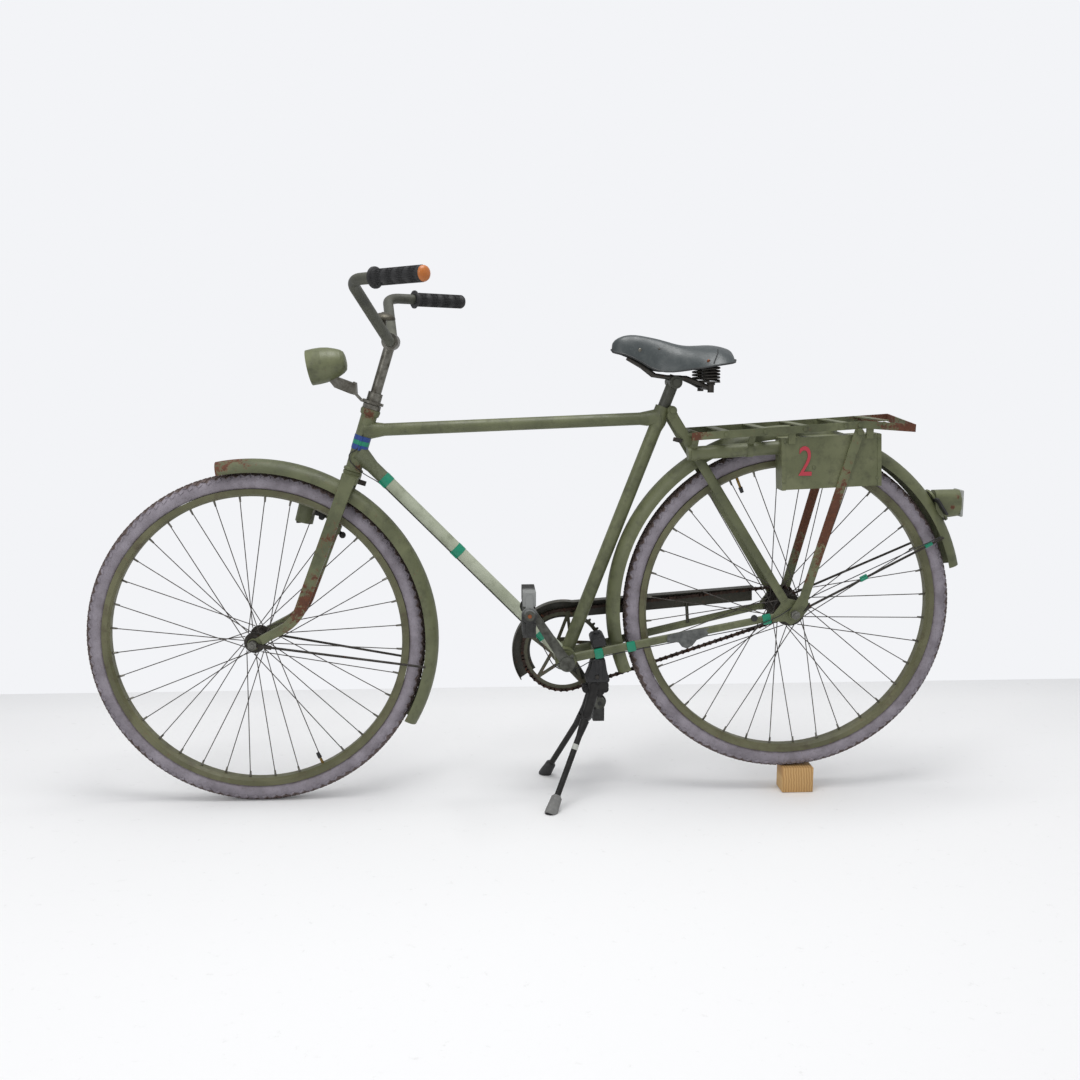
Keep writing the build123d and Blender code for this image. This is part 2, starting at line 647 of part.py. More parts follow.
def build_guard(centre, crest, angles, label):
    """Half a ring in section, swept round the wheel between two angles."""
    lip = crest - GUARD_RADIUS
    with BuildPart() as guard:
        start = Plane(
            origin=centre,
            x_dir=Vector(math.cos(math.radians(angles[0])), 0, math.sin(math.radians(angles[0]))),
            z_dir=Vector(math.sin(math.radians(angles[0])), 0, -math.cos(math.radians(angles[0]))),
        )
        with BuildSketch(start):
            with Locations((lip, 0)):
                Circle(GUARD_RADIUS)
                Circle(GUARD_RADIUS - GUARD_WALL, mode=Mode.SUBTRACT)
            with Locations((lip - GUARD_RADIUS, 0)):
                Rectangle(2 * GUARD_RADIUS, 2 * GUARD_RADIUS, mode=Mode.SUBTRACT)
        revolve(axis=Axis(centre, (0, -1, 0)), revolution_arc=angles[1] - angles[0])
    save(guard.part, label)


build_guard(FRONT_HUB, FRONT_GUARD_CREST, FRONT_GUARD_ANGLES, "front_mudguard")
build_guard(GUARD_CENTRE, REAR_GUARD_CREST, REAR_GUARD_ANGLES, "rear_mudguard")


def eye_and_rod(hub, side, tip, diameter, thickness):
    """A flat eye round an axle with a rod from its neck to a tip, in the part being built."""
    eye = shifted(hub, side=side)
    neck = between(eye, tip, EYE_NECK / math.dist(eye, tip))
    neck = (neck[0], side, neck[2])
    along = (neck[0] - eye[0], 0.0, neck[2] - eye[2])
    plane = Plane(origin=shifted(eye, side=-thickness / 2), x_dir=along, z_dir=(0, 1, 0))
    with BuildSketch(plane) as flat:
        Circle(EYE_RADIUS)
        with Locations((EYE_NECK / 2, 0)):
            Rectangle(EYE_NECK, diameter + 3.0)
        Circle(AXLE_DIAMETER / 2 + FACE_GAP, mode=Mode.SUBTRACT)
    extrude(flat.sketch, amount=thickness)
    bar(between(neck, eye, 0.1), tip, diameter)


EYE_RADIUS = 10.0
EYE_NECK = 38.0


def build_guard_stays(hub, root_side, centre, crest, angles, label):
    """A rod on each side from the axle to the mudguard's edge, at each of the angles."""
    side_of_edge = GUARD_RADIUS + STAY_DIAMETER / 2 + 0.1
    with BuildPart() as stays:
        for side in (-1, 1):
            for angle in angles:
                tip = polar(centre, crest - GUARD_RADIUS + 4.0, angle, side * side_of_edge)
                eye_and_rod(hub, side * root_side, tip, STAY_DIAMETER, STAY_DIAMETER)
    save(stays.part, label)


FRONT_EYE_SIDE = FRONT_AXLE_SPAN / 2 + DROPOUT_THICKNESS / 2 + FACE_GAP + STAY_DIAMETER / 2
GUARD_EYE_SIDE = REAR_AXLE_SPAN / 2 + DROPOUT_THICKNESS / 2 + FACE_GAP + STAY_DIAMETER / 2
build_guard_stays(
    FRONT_HUB,
    FRONT_EYE_SIDE,
    FRONT_HUB,
    FRONT_GUARD_CREST,
    (-9.5,),
    "front_mudguard_stays",
)
build_guard_stays(
    REAR_HUB,
    GUARD_EYE_SIDE,
    GUARD_CENTRE,
    REAR_GUARD_CREST,
    (24.0,),
    "rear_mudguard_stays",
)

# Fork

CROWN_TOP = on_head(-FACE_GAP)
CROWN_FOOT = on_head(-FACE_GAP - CROWN_HEIGHT)
BEND_POINT = shifted(FRONT_HUB, ahead=88.0, up=45.0)
BEND_RADIUS = 90.0
FRONT_END_INNER = FRONT_AXLE_SPAN / 2 - DROPOUT_THICKNESS / 2


def blade(side):
    """One fork blade, tapering from the crown to the axle with a sharp low bend, and its end."""
    top = CROWN_FOOT
    splay = math.atan2(FRONT_AXLE_SPAN / 2 - BLADE_TOP_SPREAD, FORK_LENGTH)
    plane = Plane(
        origin=(top[0], side * BLADE_TOP_SPREAD, top[2]),
        x_dir=(1, 0, 0),
        z_dir=(0, -math.cos(splay), -side * math.sin(splay)),
    )
    stations = (
        (shifted(top, up=14.0, ahead=4.0), BLADE_TOP_WIDTH),
        (BEND_POINT, BLADE_BEND_WIDTH),
        (between(FRONT_HUB, BEND_POINT, 0.1), BLADE_END_WIDTH),
    )
    left, right = [], []
    for index, (spot, width) in enumerate(stations):
        before = stations[max(index - 1, 0)][0]
        after = stations[min(index + 1, 2)][0]
        along = math.atan2(after[2] - before[2], after[0] - before[0])
        across = (-math.sin(along) * width / 2, math.cos(along) * width / 2)
        local = (spot[0] - top[0], spot[2] - top[2])
        left.append((local[0] + across[0], local[1] + across[1]))
        right.append((local[0] - across[0], local[1] - across[1]))
    with BuildSketch(plane) as outline:
        with BuildLine():
            Polyline(*left, *reversed(right), close=True)
        make_face()
        for (across, up), radius in (
            (left[1], BEND_RADIUS + BLADE_BEND_WIDTH / 2),
            (right[1], BEND_RADIUS - BLADE_BEND_WIDTH / 2),
        ):
            corner = outline.vertices().sort_by_distance((across, up, 0))[0]
            fillet(corner, radius)
    extrude(outline.sketch, amount=BLADE_THICKNESS / 2, both=True)


with BuildPart() as fork:
    bar(CROWN_TOP, on_head(STEERER_TOP), STEERER_DIAMETER)
    with BuildSketch(Plane(origin=CROWN_FOOT, x_dir=(0, 1, 0), z_dir=HEAD_UP)) as crown:
        RectangleRounded(2 * BLADE_TOP_SPREAD + BLADE_THICKNESS, 34.0, 9.0)
    extrude(crown.sketch, amount=CROWN_HEIGHT)
    for side in (-1, 1):
        blade(side)
        face = shifted(FRONT_HUB, side=side * FRONT_AXLE_SPAN / 2 - DROPOUT_THICKNESS / 2)
        with BuildSketch(Plane(origin=face, z_dir=(0, 1, 0))) as end:
            Circle(12.0)
        extrude(end.sketch, amount=DROPOUT_THICKNESS)
        cross_bar(FRONT_HUB, 90.0, AXLE_DIAMETER + 2 * FACE_GAP, mode=Mode.SUBTRACT)
    cross_bar(FRONT_HUB, FRONT_END_INNER, 40.0, mode=Mode.SUBTRACT)
    for side in (-1, 1):
        outer = shifted(FRONT_HUB, side=side * (FRONT_END_INNER + DROPOUT_THICKNESS))
        bar(outer, shifted(outer, side=side * 30.0), 40.0, mode=Mode.SUBTRACT)
save(fork.part, "fork")

# Headset, stem and handlebar

STACK = 34.0
LOCK_DIAMETER = 30.0
with BuildPart() as headset:
    bar(on_head(HEAD_TUBE_LENGTH + FACE_GAP), on_head(HEAD_TUBE_LENGTH + 9.0), 37.0)
    bar(on_head(HEAD_TUBE_LENGTH + 9.0), on_head(HEAD_TUBE_LENGTH + STACK), LOCK_DIAMETER)
    bar(HEAD_FOOT, on_head(STEERER_TOP), STEERER_DIAMETER + RUNNING_GAP, mode=Mode.SUBTRACT)
    bar(HEAD_FOOT, on_head(HEAD_TUBE_LENGTH + 60.0), STEM_DIAMETER + RUNNING_GAP, mode=Mode.SUBTRACT)
save(headset.part, "headset_nuts")

CLAMP_POINT = on_head(BAR_CLAMP_HEIGHT + HEAD_TUBE_LENGTH)
steer_axis = Axis(HEAD_FOOT, HEAD_UP)
with BuildPart() as stem:
    bar(on_head(STEERER_TOP + FACE_GAP), CLAMP_POINT, STEM_DIAMETER)
    cross_bar(CLAMP_POINT, 15.0, 34.0)
    cross_bar(CLAMP_POINT, 40.0, BAR_DIAMETER + RUNNING_GAP, mode=Mode.SUBTRACT)
save(stem.part.rotate(steer_axis, BAR_TURN), "stem")

# Handlebar route on the right: behind the clamp, to the side, above the clamp.
BAR_ROUTE = (
    (0.0, 0.0, 0.0),
    (0.0, 22.0, 0.0),
    (-40.0, 205.0, 104.0),
)
BAR_RADII = (20.0, 42.0)
GRIP_SETBACK = 64.0
GRIP_DIRECTION = (
    math.cos(math.radians(GRIP_SPLAY)),
    math.sin(math.radians(GRIP_SPLAY)),
)


def bar_point(number, side):
    """A point of the handlebar's route on one side."""
    back, across, up = BAR_ROUTE[number]
    return shifted(CLAMP_POINT, ahead=back, side=side * across, up=up)


def grip_point(side, distance):
    """A point along a grip, from its inner end."""
    reach = GRIP_SETBACK + distance
    return shifted(
        bar_point(2, side),
        ahead=GRIP_DIRECTION[0] * reach,
        side=side * GRIP_DIRECTION[1] * reach,
    )


with BuildPart() as handlebar:
    for side in (-1, 1):
        with BuildLine() as route:
            FilletPolyline(
                bar_point(0, side),
                bar_point(1, side),
                bar_point(2, side),
                grip_point(side, GRIP_LENGTH - 12.0),
                radius=BAR_RADII,
            )
        with BuildSketch(Plane(origin=bar_point(0, side), z_dir=route.line % 0)) as section:
            Circle(BAR_DIAMETER / 2)
        sweep(section.sketch, path=route.line)
save(handlebar.part.rotate(steer_axis, BAR_TURN), "handlebar")

for side, name in ((-1, "left"), (1, "right")):
    with BuildPart() as grip:
        bar(grip_point(side, 0.0), grip_point(side, GRIP_LENGTH), GRIP_DIAMETER)
        bar(grip_point(side, 0.0), grip_point(side, 5.0), GRIP_DIAMETER + 9.0)
        bar(grip_point(side, -1.0), grip_point(side, GRIP_LENGTH - 11.7), BAR_DIAMETER, mode=Mode.SUBTRACT)
    save(grip.part.rotate(steer_axis, BAR_TURN), f"{name}_grip")

with BuildPart() as bell:
    foot = shifted(between(bar_point(1, -1), bar_point(2, -1), 0.12), up=15.5, ahead=-2.0)
    turned(foot, (0, 0, 1), ((0.0, 5.0), (13.0, 5.0), (13.0, 24.0), (19.0, 22.5), (25.0, 16.0), (28.0, 6.0)))
save(bell.part.rotate(steer_axis, BAR_TURN), "bell")

# Headlamp on its bracket

LAMP_TILT = 11.3
LAMP_FACE = shifted(FRONT_HUB, ahead=123.8, up=562.4)
LAMP_WALL = 2.0
LAMP_DEPTH = 20.0
LENS_BACK = 9.0
# Lamp stations behind its face: place, radius.
LAMP_STATIONS = (
    (0.0, 36.0),
    (15.0, 36.5),
    (30.0, 35.8),
    (45.0, 33.0),
    (58.0, 28.5),
    (68.0, 24.0),
    (74.0, 19.0),
    (76.0, 12.0),
)
LAMP_BACK = (math.cos(math.radians(LAMP_TILT)), 0.0, math.sin(math.radians(LAMP_TILT)))


def on_lamp(distance, beside=0.0):
    """A point behind the lamp's face on its axis, or beside it."""
    return shifted(LAMP_FACE, ahead=distance * LAMP_BACK[0], side=beside, up=distance * LAMP_BACK[2])


with BuildPart() as headlamp:
    turned(LAMP_FACE, LAMP_BACK, LAMP_STATIONS)
    bar(LAMP_FACE, on_lamp(LAMP_DEPTH), 2 * (LAMP_STATIONS[0][1] - LAMP_WALL), mode=Mode.SUBTRACT)
save(headlamp.part, "headlamp")
with BuildPart() as lens:
    bar(on_lamp(2.0), on_lamp(LENS_BACK), 2 * (LAMP_STATIONS[0][1] - LAMP_WALL - FACE_GAP))
save(lens.part, "headlamp_lens")

COLLAR_HEIGHT = HEAD_TUBE_LENGTH + 11.0
COLLAR_THICKNESS = 5.0
BRACKET_WIRE = 5.0
# Lamp bracket arm and flange outlines from the front hub: behind, above.
ARM_OUTLINE = (
    (163.2, 537.8),
    (171.9, 546.2),
    (184.2, 543.2),
    (213.4, 532.3),
    (213.5, 508.3),
    (205.1, 510.7),
    (174.4, 523.1),
)
FLANGE_OUTLINE = ((212.7, 535.0), (219.0, 532.3), (220.0, 508.3), (213.0, 508.3))
with BuildPart() as lamp_bracket:
    for outline, width in ((ARM_OUTLINE, 16.0), (FLANGE_OUTLINE, 22.0)):
        flat_shape(0.0, [(FRONT_HUB[0] + back, FRONT_HUB[2] + up) for back, up in outline], width)
    wire = [(216.5, 510.0), (228.0, 497.4), (241.9, 492.7)]
    spots = [shifted(FRONT_HUB, ahead=back, up=up) for back, up in wire]
    for side in (-1, 1):
        for start, end in zip(spots, spots[1:]):
            bar(shifted(start, side=side * 6.0), shifted(end, side=side * 6.0), BRACKET_WIRE)
            with Locations(shifted(end, side=side * 6.0)):
                Sphere(BRACKET_WIRE / 2)
    bar(on_head(COLLAR_HEIGHT), on_head(COLLAR_HEIGHT + COLLAR_THICKNESS), LOCK_DIAMETER + 14.0)
    bar(on_head(0.0), on_head(HEAD_TUBE_LENGTH + 60.0), LOCK_DIAMETER + 0.1, mode=Mode.SUBTRACT)
    add(headlamp.part, mode=Mode.SUBTRACT)
save(lamp_bracket.part, "headlamp_bracket")

# Bottle dynamo on the right fork blade

DYNAMO_TOP = shifted(FRONT_HUB, ahead=112.0, side=52.0, up=302.0)
with BuildPart() as dynamo:
    foot = shifted(DYNAMO_TOP, ahead=-16.0, up=-62.0)
    bar(foot, DYNAMO_TOP, 38.0)
    bar(DYNAMO_TOP, shifted(DYNAMO_TOP, ahead=4.0, up=16.0), 20.0)
    arm_bend = shifted(FRONT_HUB, ahead=150.0, side=56.0, up=246.0)
    arm_end = shifted(FRONT_HUB, ahead=160.0, side=52.0, up=228.0)
    bar(shifted(FRONT_HUB, ahead=112.0, side=54.0, up=276.0), arm_bend, 9.0)
    bar(between(arm_bend, arm_end, -0.2), arm_end, 9.0)
    band_spot = shifted(FRONT_HUB, ahead=159.0, side=43.5, up=228.0)
    with BuildSketch(Plane(origin=band_spot, x_dir=(0, 1, 0), z_dir=(-0.361, 0, -0.932))) as band:
        RectangleRounded(24.0, 31.0, 8.0)
    extrude(band.sketch, amount=9.0, both=True)
    add(fork.part, mode=Mode.SUBTRACT)
save(dynamo.part, "dynamo")

# Rear rack, with what hangs from it

RACK_LEVEL = REAR_HUB[2] + RACK_HEIGHT
RACK_RISE = 30.0
RACK_BEND = 131.0
RAIL_DROOP = 14.0
RACK_X0 = REAR_HUB[0] + RACK_FRONT
RACK_X1 = REAR_HUB[0] + RACK_REAR


def rack_point(share, side=0.0, down=0.0):
    """A point of the rack's deck, from its front end to its rear end."""
    return (RACK_X0 + share * (RACK_X1 - RACK_X0), side, RACK_LEVEL + share * RACK_RISE - down)


def rack_share(back):
    """How far along the deck a place behind the hub lies."""
    return (back - RACK_FRONT) / (RACK_REAR - RACK_FRONT)


FRONT_STRIP = -210.0
STRUT_WIDTH = 19.0
STRUT_WALL = 3.5
STRUT_TOP = (117.0, 383.0)
STRUT_FOOT = (16.0, 24.0)
STRUT_EYE_SIDE = REAR_NUT_SIDE - FACE_GAP - STRUT_TAB / 2
# Strut foot plate outline from the rear hub: behind, above.
STRUT_PLATE = ((-7.0, -9.0), (8.0, -9.0), (28.0, 22.0), (27.0, 38.0), (9.0, 38.0), (-9.0, 8.0))
with BuildPart() as rear_rack:
    for side, droop in ((-1, RAIL_DROOP), (1, 0.0)):
        outer = side * (RACK_HALF_WIDTH - RAIL_WALL / 2)
        bend_share = rack_share(RACK_BEND)
        spots = (
            rack_point(0.0, outer, RAIL_SIZE / 2),
            rack_point(bend_share, outer, RAIL_SIZE / 2),
            rack_point(1.0, outer, RAIL_SIZE / 2 + droop),
        )
        for start, end in zip(spots, spots[1:]):
            half = RAIL_SIZE / 2
            rail = [
                (start[0], start[2] - half),
                (end[0], end[2] - half),
                (end[0], end[2] + half),
                (start[0], start[2] + half),
            ]
            flat_shape(outer, rail, RAIL_WALL)
        for place in (*SLAT_PLACES, STRUT_TOP[0]):
            rivet = rack_point(rack_share(place), side * RACK_HALF_WIDTH, RAIL_SIZE / 2)
            cross_bar(rivet, 3.0, 8.0)
        foot = shifted(REAR_HUB, ahead=STRUT_FOOT[0], side=side * STRUT_EYE_SIDE, up=STRUT_FOOT[1])
        strut_side = side * (RACK_HALF_WIDTH + STRUT_WALL / 2 - 0.2)
        top = shifted(REAR_HUB, ahead=STRUT_TOP[0], side=strut_side, up=STRUT_TOP[1])
        run = Vector(*top) - Vector(*foot)
        with BuildSketch(Plane(origin=foot, x_dir=(run.Z, 0, -run.X), z_dir=run)) as section:
            Rectangle(STRUT_WIDTH, STRUT_WALL)
        extrude(section.sketch, amount=run.length)
        cross_bar(shifted(top, up=-3.0), 5.0, 13.0)
        plate = [(REAR_HUB[0] + back, REAR_HUB[2] + up) for back, up in STRUT_PLATE]
        flat_shape(side * STRUT_EYE_SIDE, plate, STRUT_TAB)
        eye = shifted(REAR_HUB, side=side * STRUT_EYE_SIDE)
        cross_bar(eye, STRUT_TAB / 2, 24.0)
    cross_bar(REAR_HUB, 120.0, AXLE_DIAMETER + 2 * FACE_GAP, mode=Mode.SUBTRACT)
    inner = RACK_HALF_WIDTH - RAIL_WALL / 2
    for place in SLAT_PLACES:
        with Locations(rack_point(rack_share(place), 0.0, SLAT_DROP)):
            Box(SLAT_WIDTH, 2 * inner, RAIL_WALL)
    with Locations(rack_point(rack_share(FRONT_STRIP), 0.0, RAIL_SIZE / 2)):
        Box(RAIL_WALL, 2 * inner, RAIL_SIZE)
    ends = (rack_point(1.0, -inner, RAIL_SIZE / 2 + RAIL_DROOP), rack_point(1.0, inner, RAIL_SIZE / 2))
    run = Vector(*ends[1]) - Vector(*ends[0])
    with BuildSketch(Plane(origin=ends[0], x_dir=(1, 0, 0), z_dir=run)) as section:
        Rectangle(RAIL_WALL, RAIL_SIZE)
    extrude(section.sketch, amount=run.length)
    for side in (-1, 1):
        front = shifted(REAR_HUB, ahead=FRONT_STRIP, side=side * STAY_HOLD_SIDE, up=RACK_HEIGHT - 8.0)
        bar(front, shifted(front, ahead=-16.0), 9.0)
    add(seat_stays.part, mode=Mode.SUBTRACT)
save(rear_rack.part, "rear_rack")

BOX_LENGTH = 206.0
BOX_HEIGHT = 106.0
BOX_INNER = 29.0
BOX_OUTER = 79.0
BOX_MIDDLE = (64.0, 318.0)
BOX_TILT = 2.6
BOX_STRIP = 8.0
box_middle = shifted(
    REAR_HUB, ahead=BOX_MIDDLE[0], side=-(BOX_INNER + BOX_OUTER) / 2, up=BOX_MIDDLE[1]
)
with BuildPart() as tool_box:
    with Locations(Location(box_middle, (0, -BOX_TILT, 0))):
        Box(BOX_LENGTH - 3.0, BOX_OUTER - BOX_INNER - 2.0, BOX_HEIGHT)
        with Locations(((BOX_STRIP - BOX_LENGTH) / 2, 0, -1.0), ((BOX_LENGTH - BOX_STRIP) / 2, 0, -1.0)):
            Box(BOX_STRIP, BOX_OUTER - BOX_INNER, BOX_HEIGHT)
    for place in (-20.0, 140.0):
        hanger = rack_point(rack_share(place), -RACK_HALF_WIDTH + RAIL_WALL + 3.0, RAIL_SIZE / 2)
        with Locations(shifted(hanger, up=-12.0)):
            Box(14.0, 5.4, RAIL_SIZE + 18.0)
    add(rear_rack.part, mode=Mode.SUBTRACT)
save(tool_box.part, "tool_box")

PUMP_DIAMETER = 28.0
STRAP_WIDTH = 12.0
STRAP_WALL = 3.0
PUMP_SIDE = -54.0
PUMP_START = shifted(REAR_HUB, ahead=-228.0, side=PUMP_SIDE, up=334.0)
PUMP_END = shifted(REAR_HUB, ahead=-39.0, side=PUMP_SIDE, up=346.0)
with BuildPart() as pump:
    bar(PUMP_START, PUMP_END, PUMP_DIAMETER)
    for place in (-216.0, -100.0):
        share = (REAR_HUB[0] + place - PUMP_START[0]) / (PUMP_END[0] - PUMP_START[0])
        middle = between(PUMP_START, PUMP_END, share)
        ring_ends = [shifted(middle, ahead=reach * STRAP_WIDTH / 2) for reach in (-1, 1)]
        bar(*ring_ends, PUMP_DIAMETER + STRAP_WALL)
        hook = rack_point(rack_share(place), -RACK_HALF_WIDTH + RAIL_WALL, RAIL_SIZE - 3.0)
        run = Vector(*hook) - Vector(*middle)
        with BuildSketch(Plane(origin=middle, x_dir=(1, 0, 0), z_dir=run)) as section:
            Rectangle(STRAP_WIDTH, STRAP_WALL)
        extrude(section.sketch, amount=run.length)
    add(rear_rack.part, mode=Mode.SUBTRACT)
    add(tool_box.part, mode=Mode.SUBTRACT)
save(pump.part, "pump_cylinder")

TAIL_ANGLE = 33.5
TAIL_SEAT = polar(GUARD_CENTRE, REAR_GUARD_CREST, TAIL_ANGLE)
TAIL_LENS = 5.0
with BuildPart() as tail_lamp:
    out = polar((0, 0, 0), 1.0, TAIL_ANGLE)
    with BuildSketch(Plane(origin=TAIL_SEAT, x_dir=(0, 1, 0), z_dir=out)) as base:
        RectangleRounded(40.0, 76.0, 14.0)
    extrude(base.sketch, amount=4.0)
    face = shifted(TAIL_SEAT, ahead=46.0, up=6.0)
    root = shifted(TAIL_SEAT, ahead=-6.0, up=2.0)
    with BuildSketch(Plane(origin=root, x_dir=(0, 1, 0), z_dir=(1, 0, 0))) as foot:
        RectangleRounded(38.0, 62.0, 14.0)
    with BuildSketch(Plane(origin=face, x_dir=(0, 1, 0), z_dir=(1, 0, 0))) as head:
        RectangleRounded(46.0, 56.0, 18.0)
    loft([foot.sketch, head.sketch], ruled=True)
    extrude(head.sketch, amount=TAIL_LENS)
    with BuildSketch(radial_plane(GUARD_CENTRE)) as ring:
        with Locations((REAR_GUARD_CREST - GUARD_RADIUS, 0)):
            Circle(GUARD_RADIUS + FACE_GAP)
    revolve(ring.sketch, axis=Axis(GUARD_CENTRE, (0, 1, 0)), mode=Mode.SUBTRACT)
save(tail_lamp.part, "tail_lamp")

# Chain, chain cover and cranks


def chain_outline(grow):
    """The closed loop round chainring and sprocket, offset outwards, in the part being built."""
    big, small = CHAINRING_RADIUS + grow, SPROCKET_RADIUS + grow
    distance = math.hypot(BRACKET_AHEAD, BRACKET_BELOW)
    slope = math.degrees(math.atan2(BRACKET_BELOW, BRACKET_AHEAD))
    lean = math.degrees(math.acos((big - small) / distance))
    sprocket = (REAR_HUB[0], REAR_HUB[2])
    ring = (BRACKET[0], BRACKET[2])

    def spot(centre, radius, angle):
        turn = math.radians(angle)
        return (centre[0] + radius * math.cos(turn), centre[1] + radius * math.sin(turn))

    upper, lower = slope + lean, slope - lean
    with BuildLine() as loop:
        Line(spot(ring, big, upper), spot(sprocket, small, upper))
        ThreePointArc(
            spot(sprocket, small, upper), spot(sprocket, small, slope), spot(sprocket, small, lower)
        )
        Line(spot(sprocket, small, lower), spot(ring, big, lower))
        ThreePointArc(spot(ring, big, lower), spot(ring, big, slope + 180), spot(ring, big, upper))
    make_face(loop.line)


CHAIN_WIDTH = 7.0
CHAIN_SLOT = 4.4
CHAIN_HALF_HEIGHT = 4.2
with BuildPart() as chain:
    for width, outer, inner, mode in (
        (CHAIN_WIDTH, CHAIN_HALF_HEIGHT, -CHAIN_HALF_HEIGHT, Mode.ADD),
        (CHAIN_SLOT, CHAIN_HALF_HEIGHT - 1.5, -CHAIN_HALF_HEIGHT - 1.0, Mode.SUBTRACT),
    ):
        with BuildSketch(upright_plane(CHAIN_LINE)) as loop:
            chain_outline(outer)
        with BuildSketch(upright_plane(CHAIN_LINE)) as hollow:
            chain_outline(inner)
        extrude(loop.sketch - hollow.sketch, amount=width / 2, both=True, mode=mode)
save(chain.part, "chain")

COVER_OUTER = 111.0
COVER_INNER = 72.0
COVER_WALL = 1.2
# Tabs that hold the cover: behind the bracket, low and high end above it.
COVER_TABS = ((150.0, 38.0, 88.0), (270.0, 60.0, 100.0))
COVER_SIDE = CHAIN_LINE + 7.5
with BuildPart() as chain_cover:
    middle = (BRACKET[0], BRACKET[2])
    rear_top = (REAR_HUB[0] - 61.0, REAR_HUB[2] + 38.0)
    rear_foot = (REAR_HUB[0] - 60.0, REAR_HUB[2] + 4.0)

    def cover_spot(radius, angle):
        turn = math.radians(angle)
        return (middle[0] + radius * math.cos(turn), middle[1] + radius * math.sin(turn))

    with BuildSketch(upright_plane(COVER_SIDE)) as sheet:
        with BuildLine():
            ThreePointArc(
                cover_spot(COVER_OUTER, 214), cover_spot(COVER_OUTER, 140), cover_spot(COVER_OUTER, 80)
            )
            Polyline(cover_spot(COVER_OUTER, 80), rear_top, rear_foot, cover_spot(COVER_INNER, 80))
            ThreePointArc(
                cover_spot(COVER_INNER, 80), cover_spot(COVER_INNER, 140), cover_spot(COVER_INNER, 214)
            )
            Line(cover_spot(COVER_INNER, 214), cover_spot(COVER_OUTER, 214))
        make_face()
    extrude(sheet.sketch, amount=-COVER_WALL)
    with BuildSketch(upright_plane(COVER_SIDE)) as rim_strip:
        with BuildLine():
            ThreePointArc(
                cover_spot(COVER_OUTER, 214), cover_spot(COVER_OUTER, 140), cover_spot(COVER_OUTER, 80)
            )
            Line(cover_spot(COVER_OUTER, 80), rear_top)
            Line(rear_top, (rear_top[0], rear_top[1] - COVER_WALL))
            Line((rear_top[0], rear_top[1] - COVER_WALL), cover_spot(COVER_OUTER - COVER_WALL, 80))
            ThreePointArc(
                cover_spot(COVER_OUTER - COVER_WALL, 80),
                cover_spot(COVER_OUTER - COVER_WALL, 140),
                cover_spot(COVER_OUTER - COVER_WALL, 214),
            )
            Line(cover_spot(COVER_OUTER - COVER_WALL, 214), cover_spot(COVER_OUTER, 214))
        make_face()
    extrude(rim_strip.sketch, amount=22.0)
    for behind, low, high in COVER_TABS:
        foot = shifted(BRACKET, ahead=behind, side=38.0, up=low)
        bar(foot, shifted(BRACKET, ahead=behind, side=COVER_SIDE + 0.4, up=high), 7.0)
    add(chain_stays.part, mode=Mode.SUBTRACT)
save(chain_cover.part, "chain_cover")

RING_WALL = 3.0
RING_RIM = 11.0
RING_HUB_RADIUS = 29.0
ARM_WIDTH = 7.0
ARM_COUNT = 5
ARM_APEX_ANGLE = 83.0
TOOTH_TIP = 2.6
TOOTH_WIDTH = 5.5


def toothed_disc(centre, pitch_radius, teeth):
    """A disc with teeth round it, in the sketch being built."""
    with Locations(centre):
        Circle(pitch_radius - 3.0)
        with PolarLocations(pitch_radius, teeth):
            with Locations((-1.0, 0)):
                Trapezoid(TOOTH_WIDTH + 2.0, 5.2 + TOOTH_TIP - 1.6, 68.0, rotation=-90)


with BuildPart() as chainring:
    with BuildSketch(upright_plane(CHAIN_LINE + RING_WALL / 2)) as disc:
        middle = (BRACKET[0], BRACKET[2])
        toothed_disc(middle, CHAINRING_RADIUS, CHAINRING_TEETH)
        with Locations(middle):
            Circle(CHAINRING_RADIUS - RING_RIM, mode=Mode.SUBTRACT)
            Circle(RING_HUB_RADIUS)
        step = 360.0 / ARM_COUNT
        for number in range(ARM_COUNT):
            apex = polar(BRACKET, CHAINRING_RADIUS - RING_RIM + 2.0, ARM_APEX_ANGLE + number * step)
            for lean in (-0.5, 0.5):
                root = polar(BRACKET, RING_HUB_RADIUS - 4.0, ARM_APEX_ANGLE + (number + lean) * step)
                run = (apex[0] - root[0], apex[2] - root[2])
                with Locations(((apex[0] + root[0]) / 2, (apex[2] + root[2]) / 2)):
                    turn = math.degrees(math.atan2(run[1], run[0]))
                    Rectangle(math.hypot(*run), ARM_WIDTH, rotation=turn)
        with Locations(middle):
            Circle(SPINDLE_DIAMETER / 2, mode=Mode.SUBTRACT)
    extrude(disc.sketch, amount=RING_WALL)
save(chainring.part, "chainring")

with BuildPart() as sprocket:
    with BuildSketch(upright_plane(CHAIN_LINE + RING_WALL / 2)) as disc:
        middle = (REAR_HUB[0], REAR_HUB[2])
        toothed_disc(middle, SPROCKET_RADIUS, SPROCKET_TEETH)
        with Locations(middle):
            Circle(17.0, mode=Mode.SUBTRACT)
    extrude(disc.sketch, amount=RING_WALL)
    bar(shifted(REAR_HUB, side=34.3), shifted(REAR_HUB, side=CHAIN_LINE + 4.0), 35.0)
    cross_bar(REAR_HUB, 80.0, AXLE_DIAMETER + 2 * RUNNING_GAP, mode=Mode.SUBTRACT)
save(sprocket.part, "rear_sprocket")

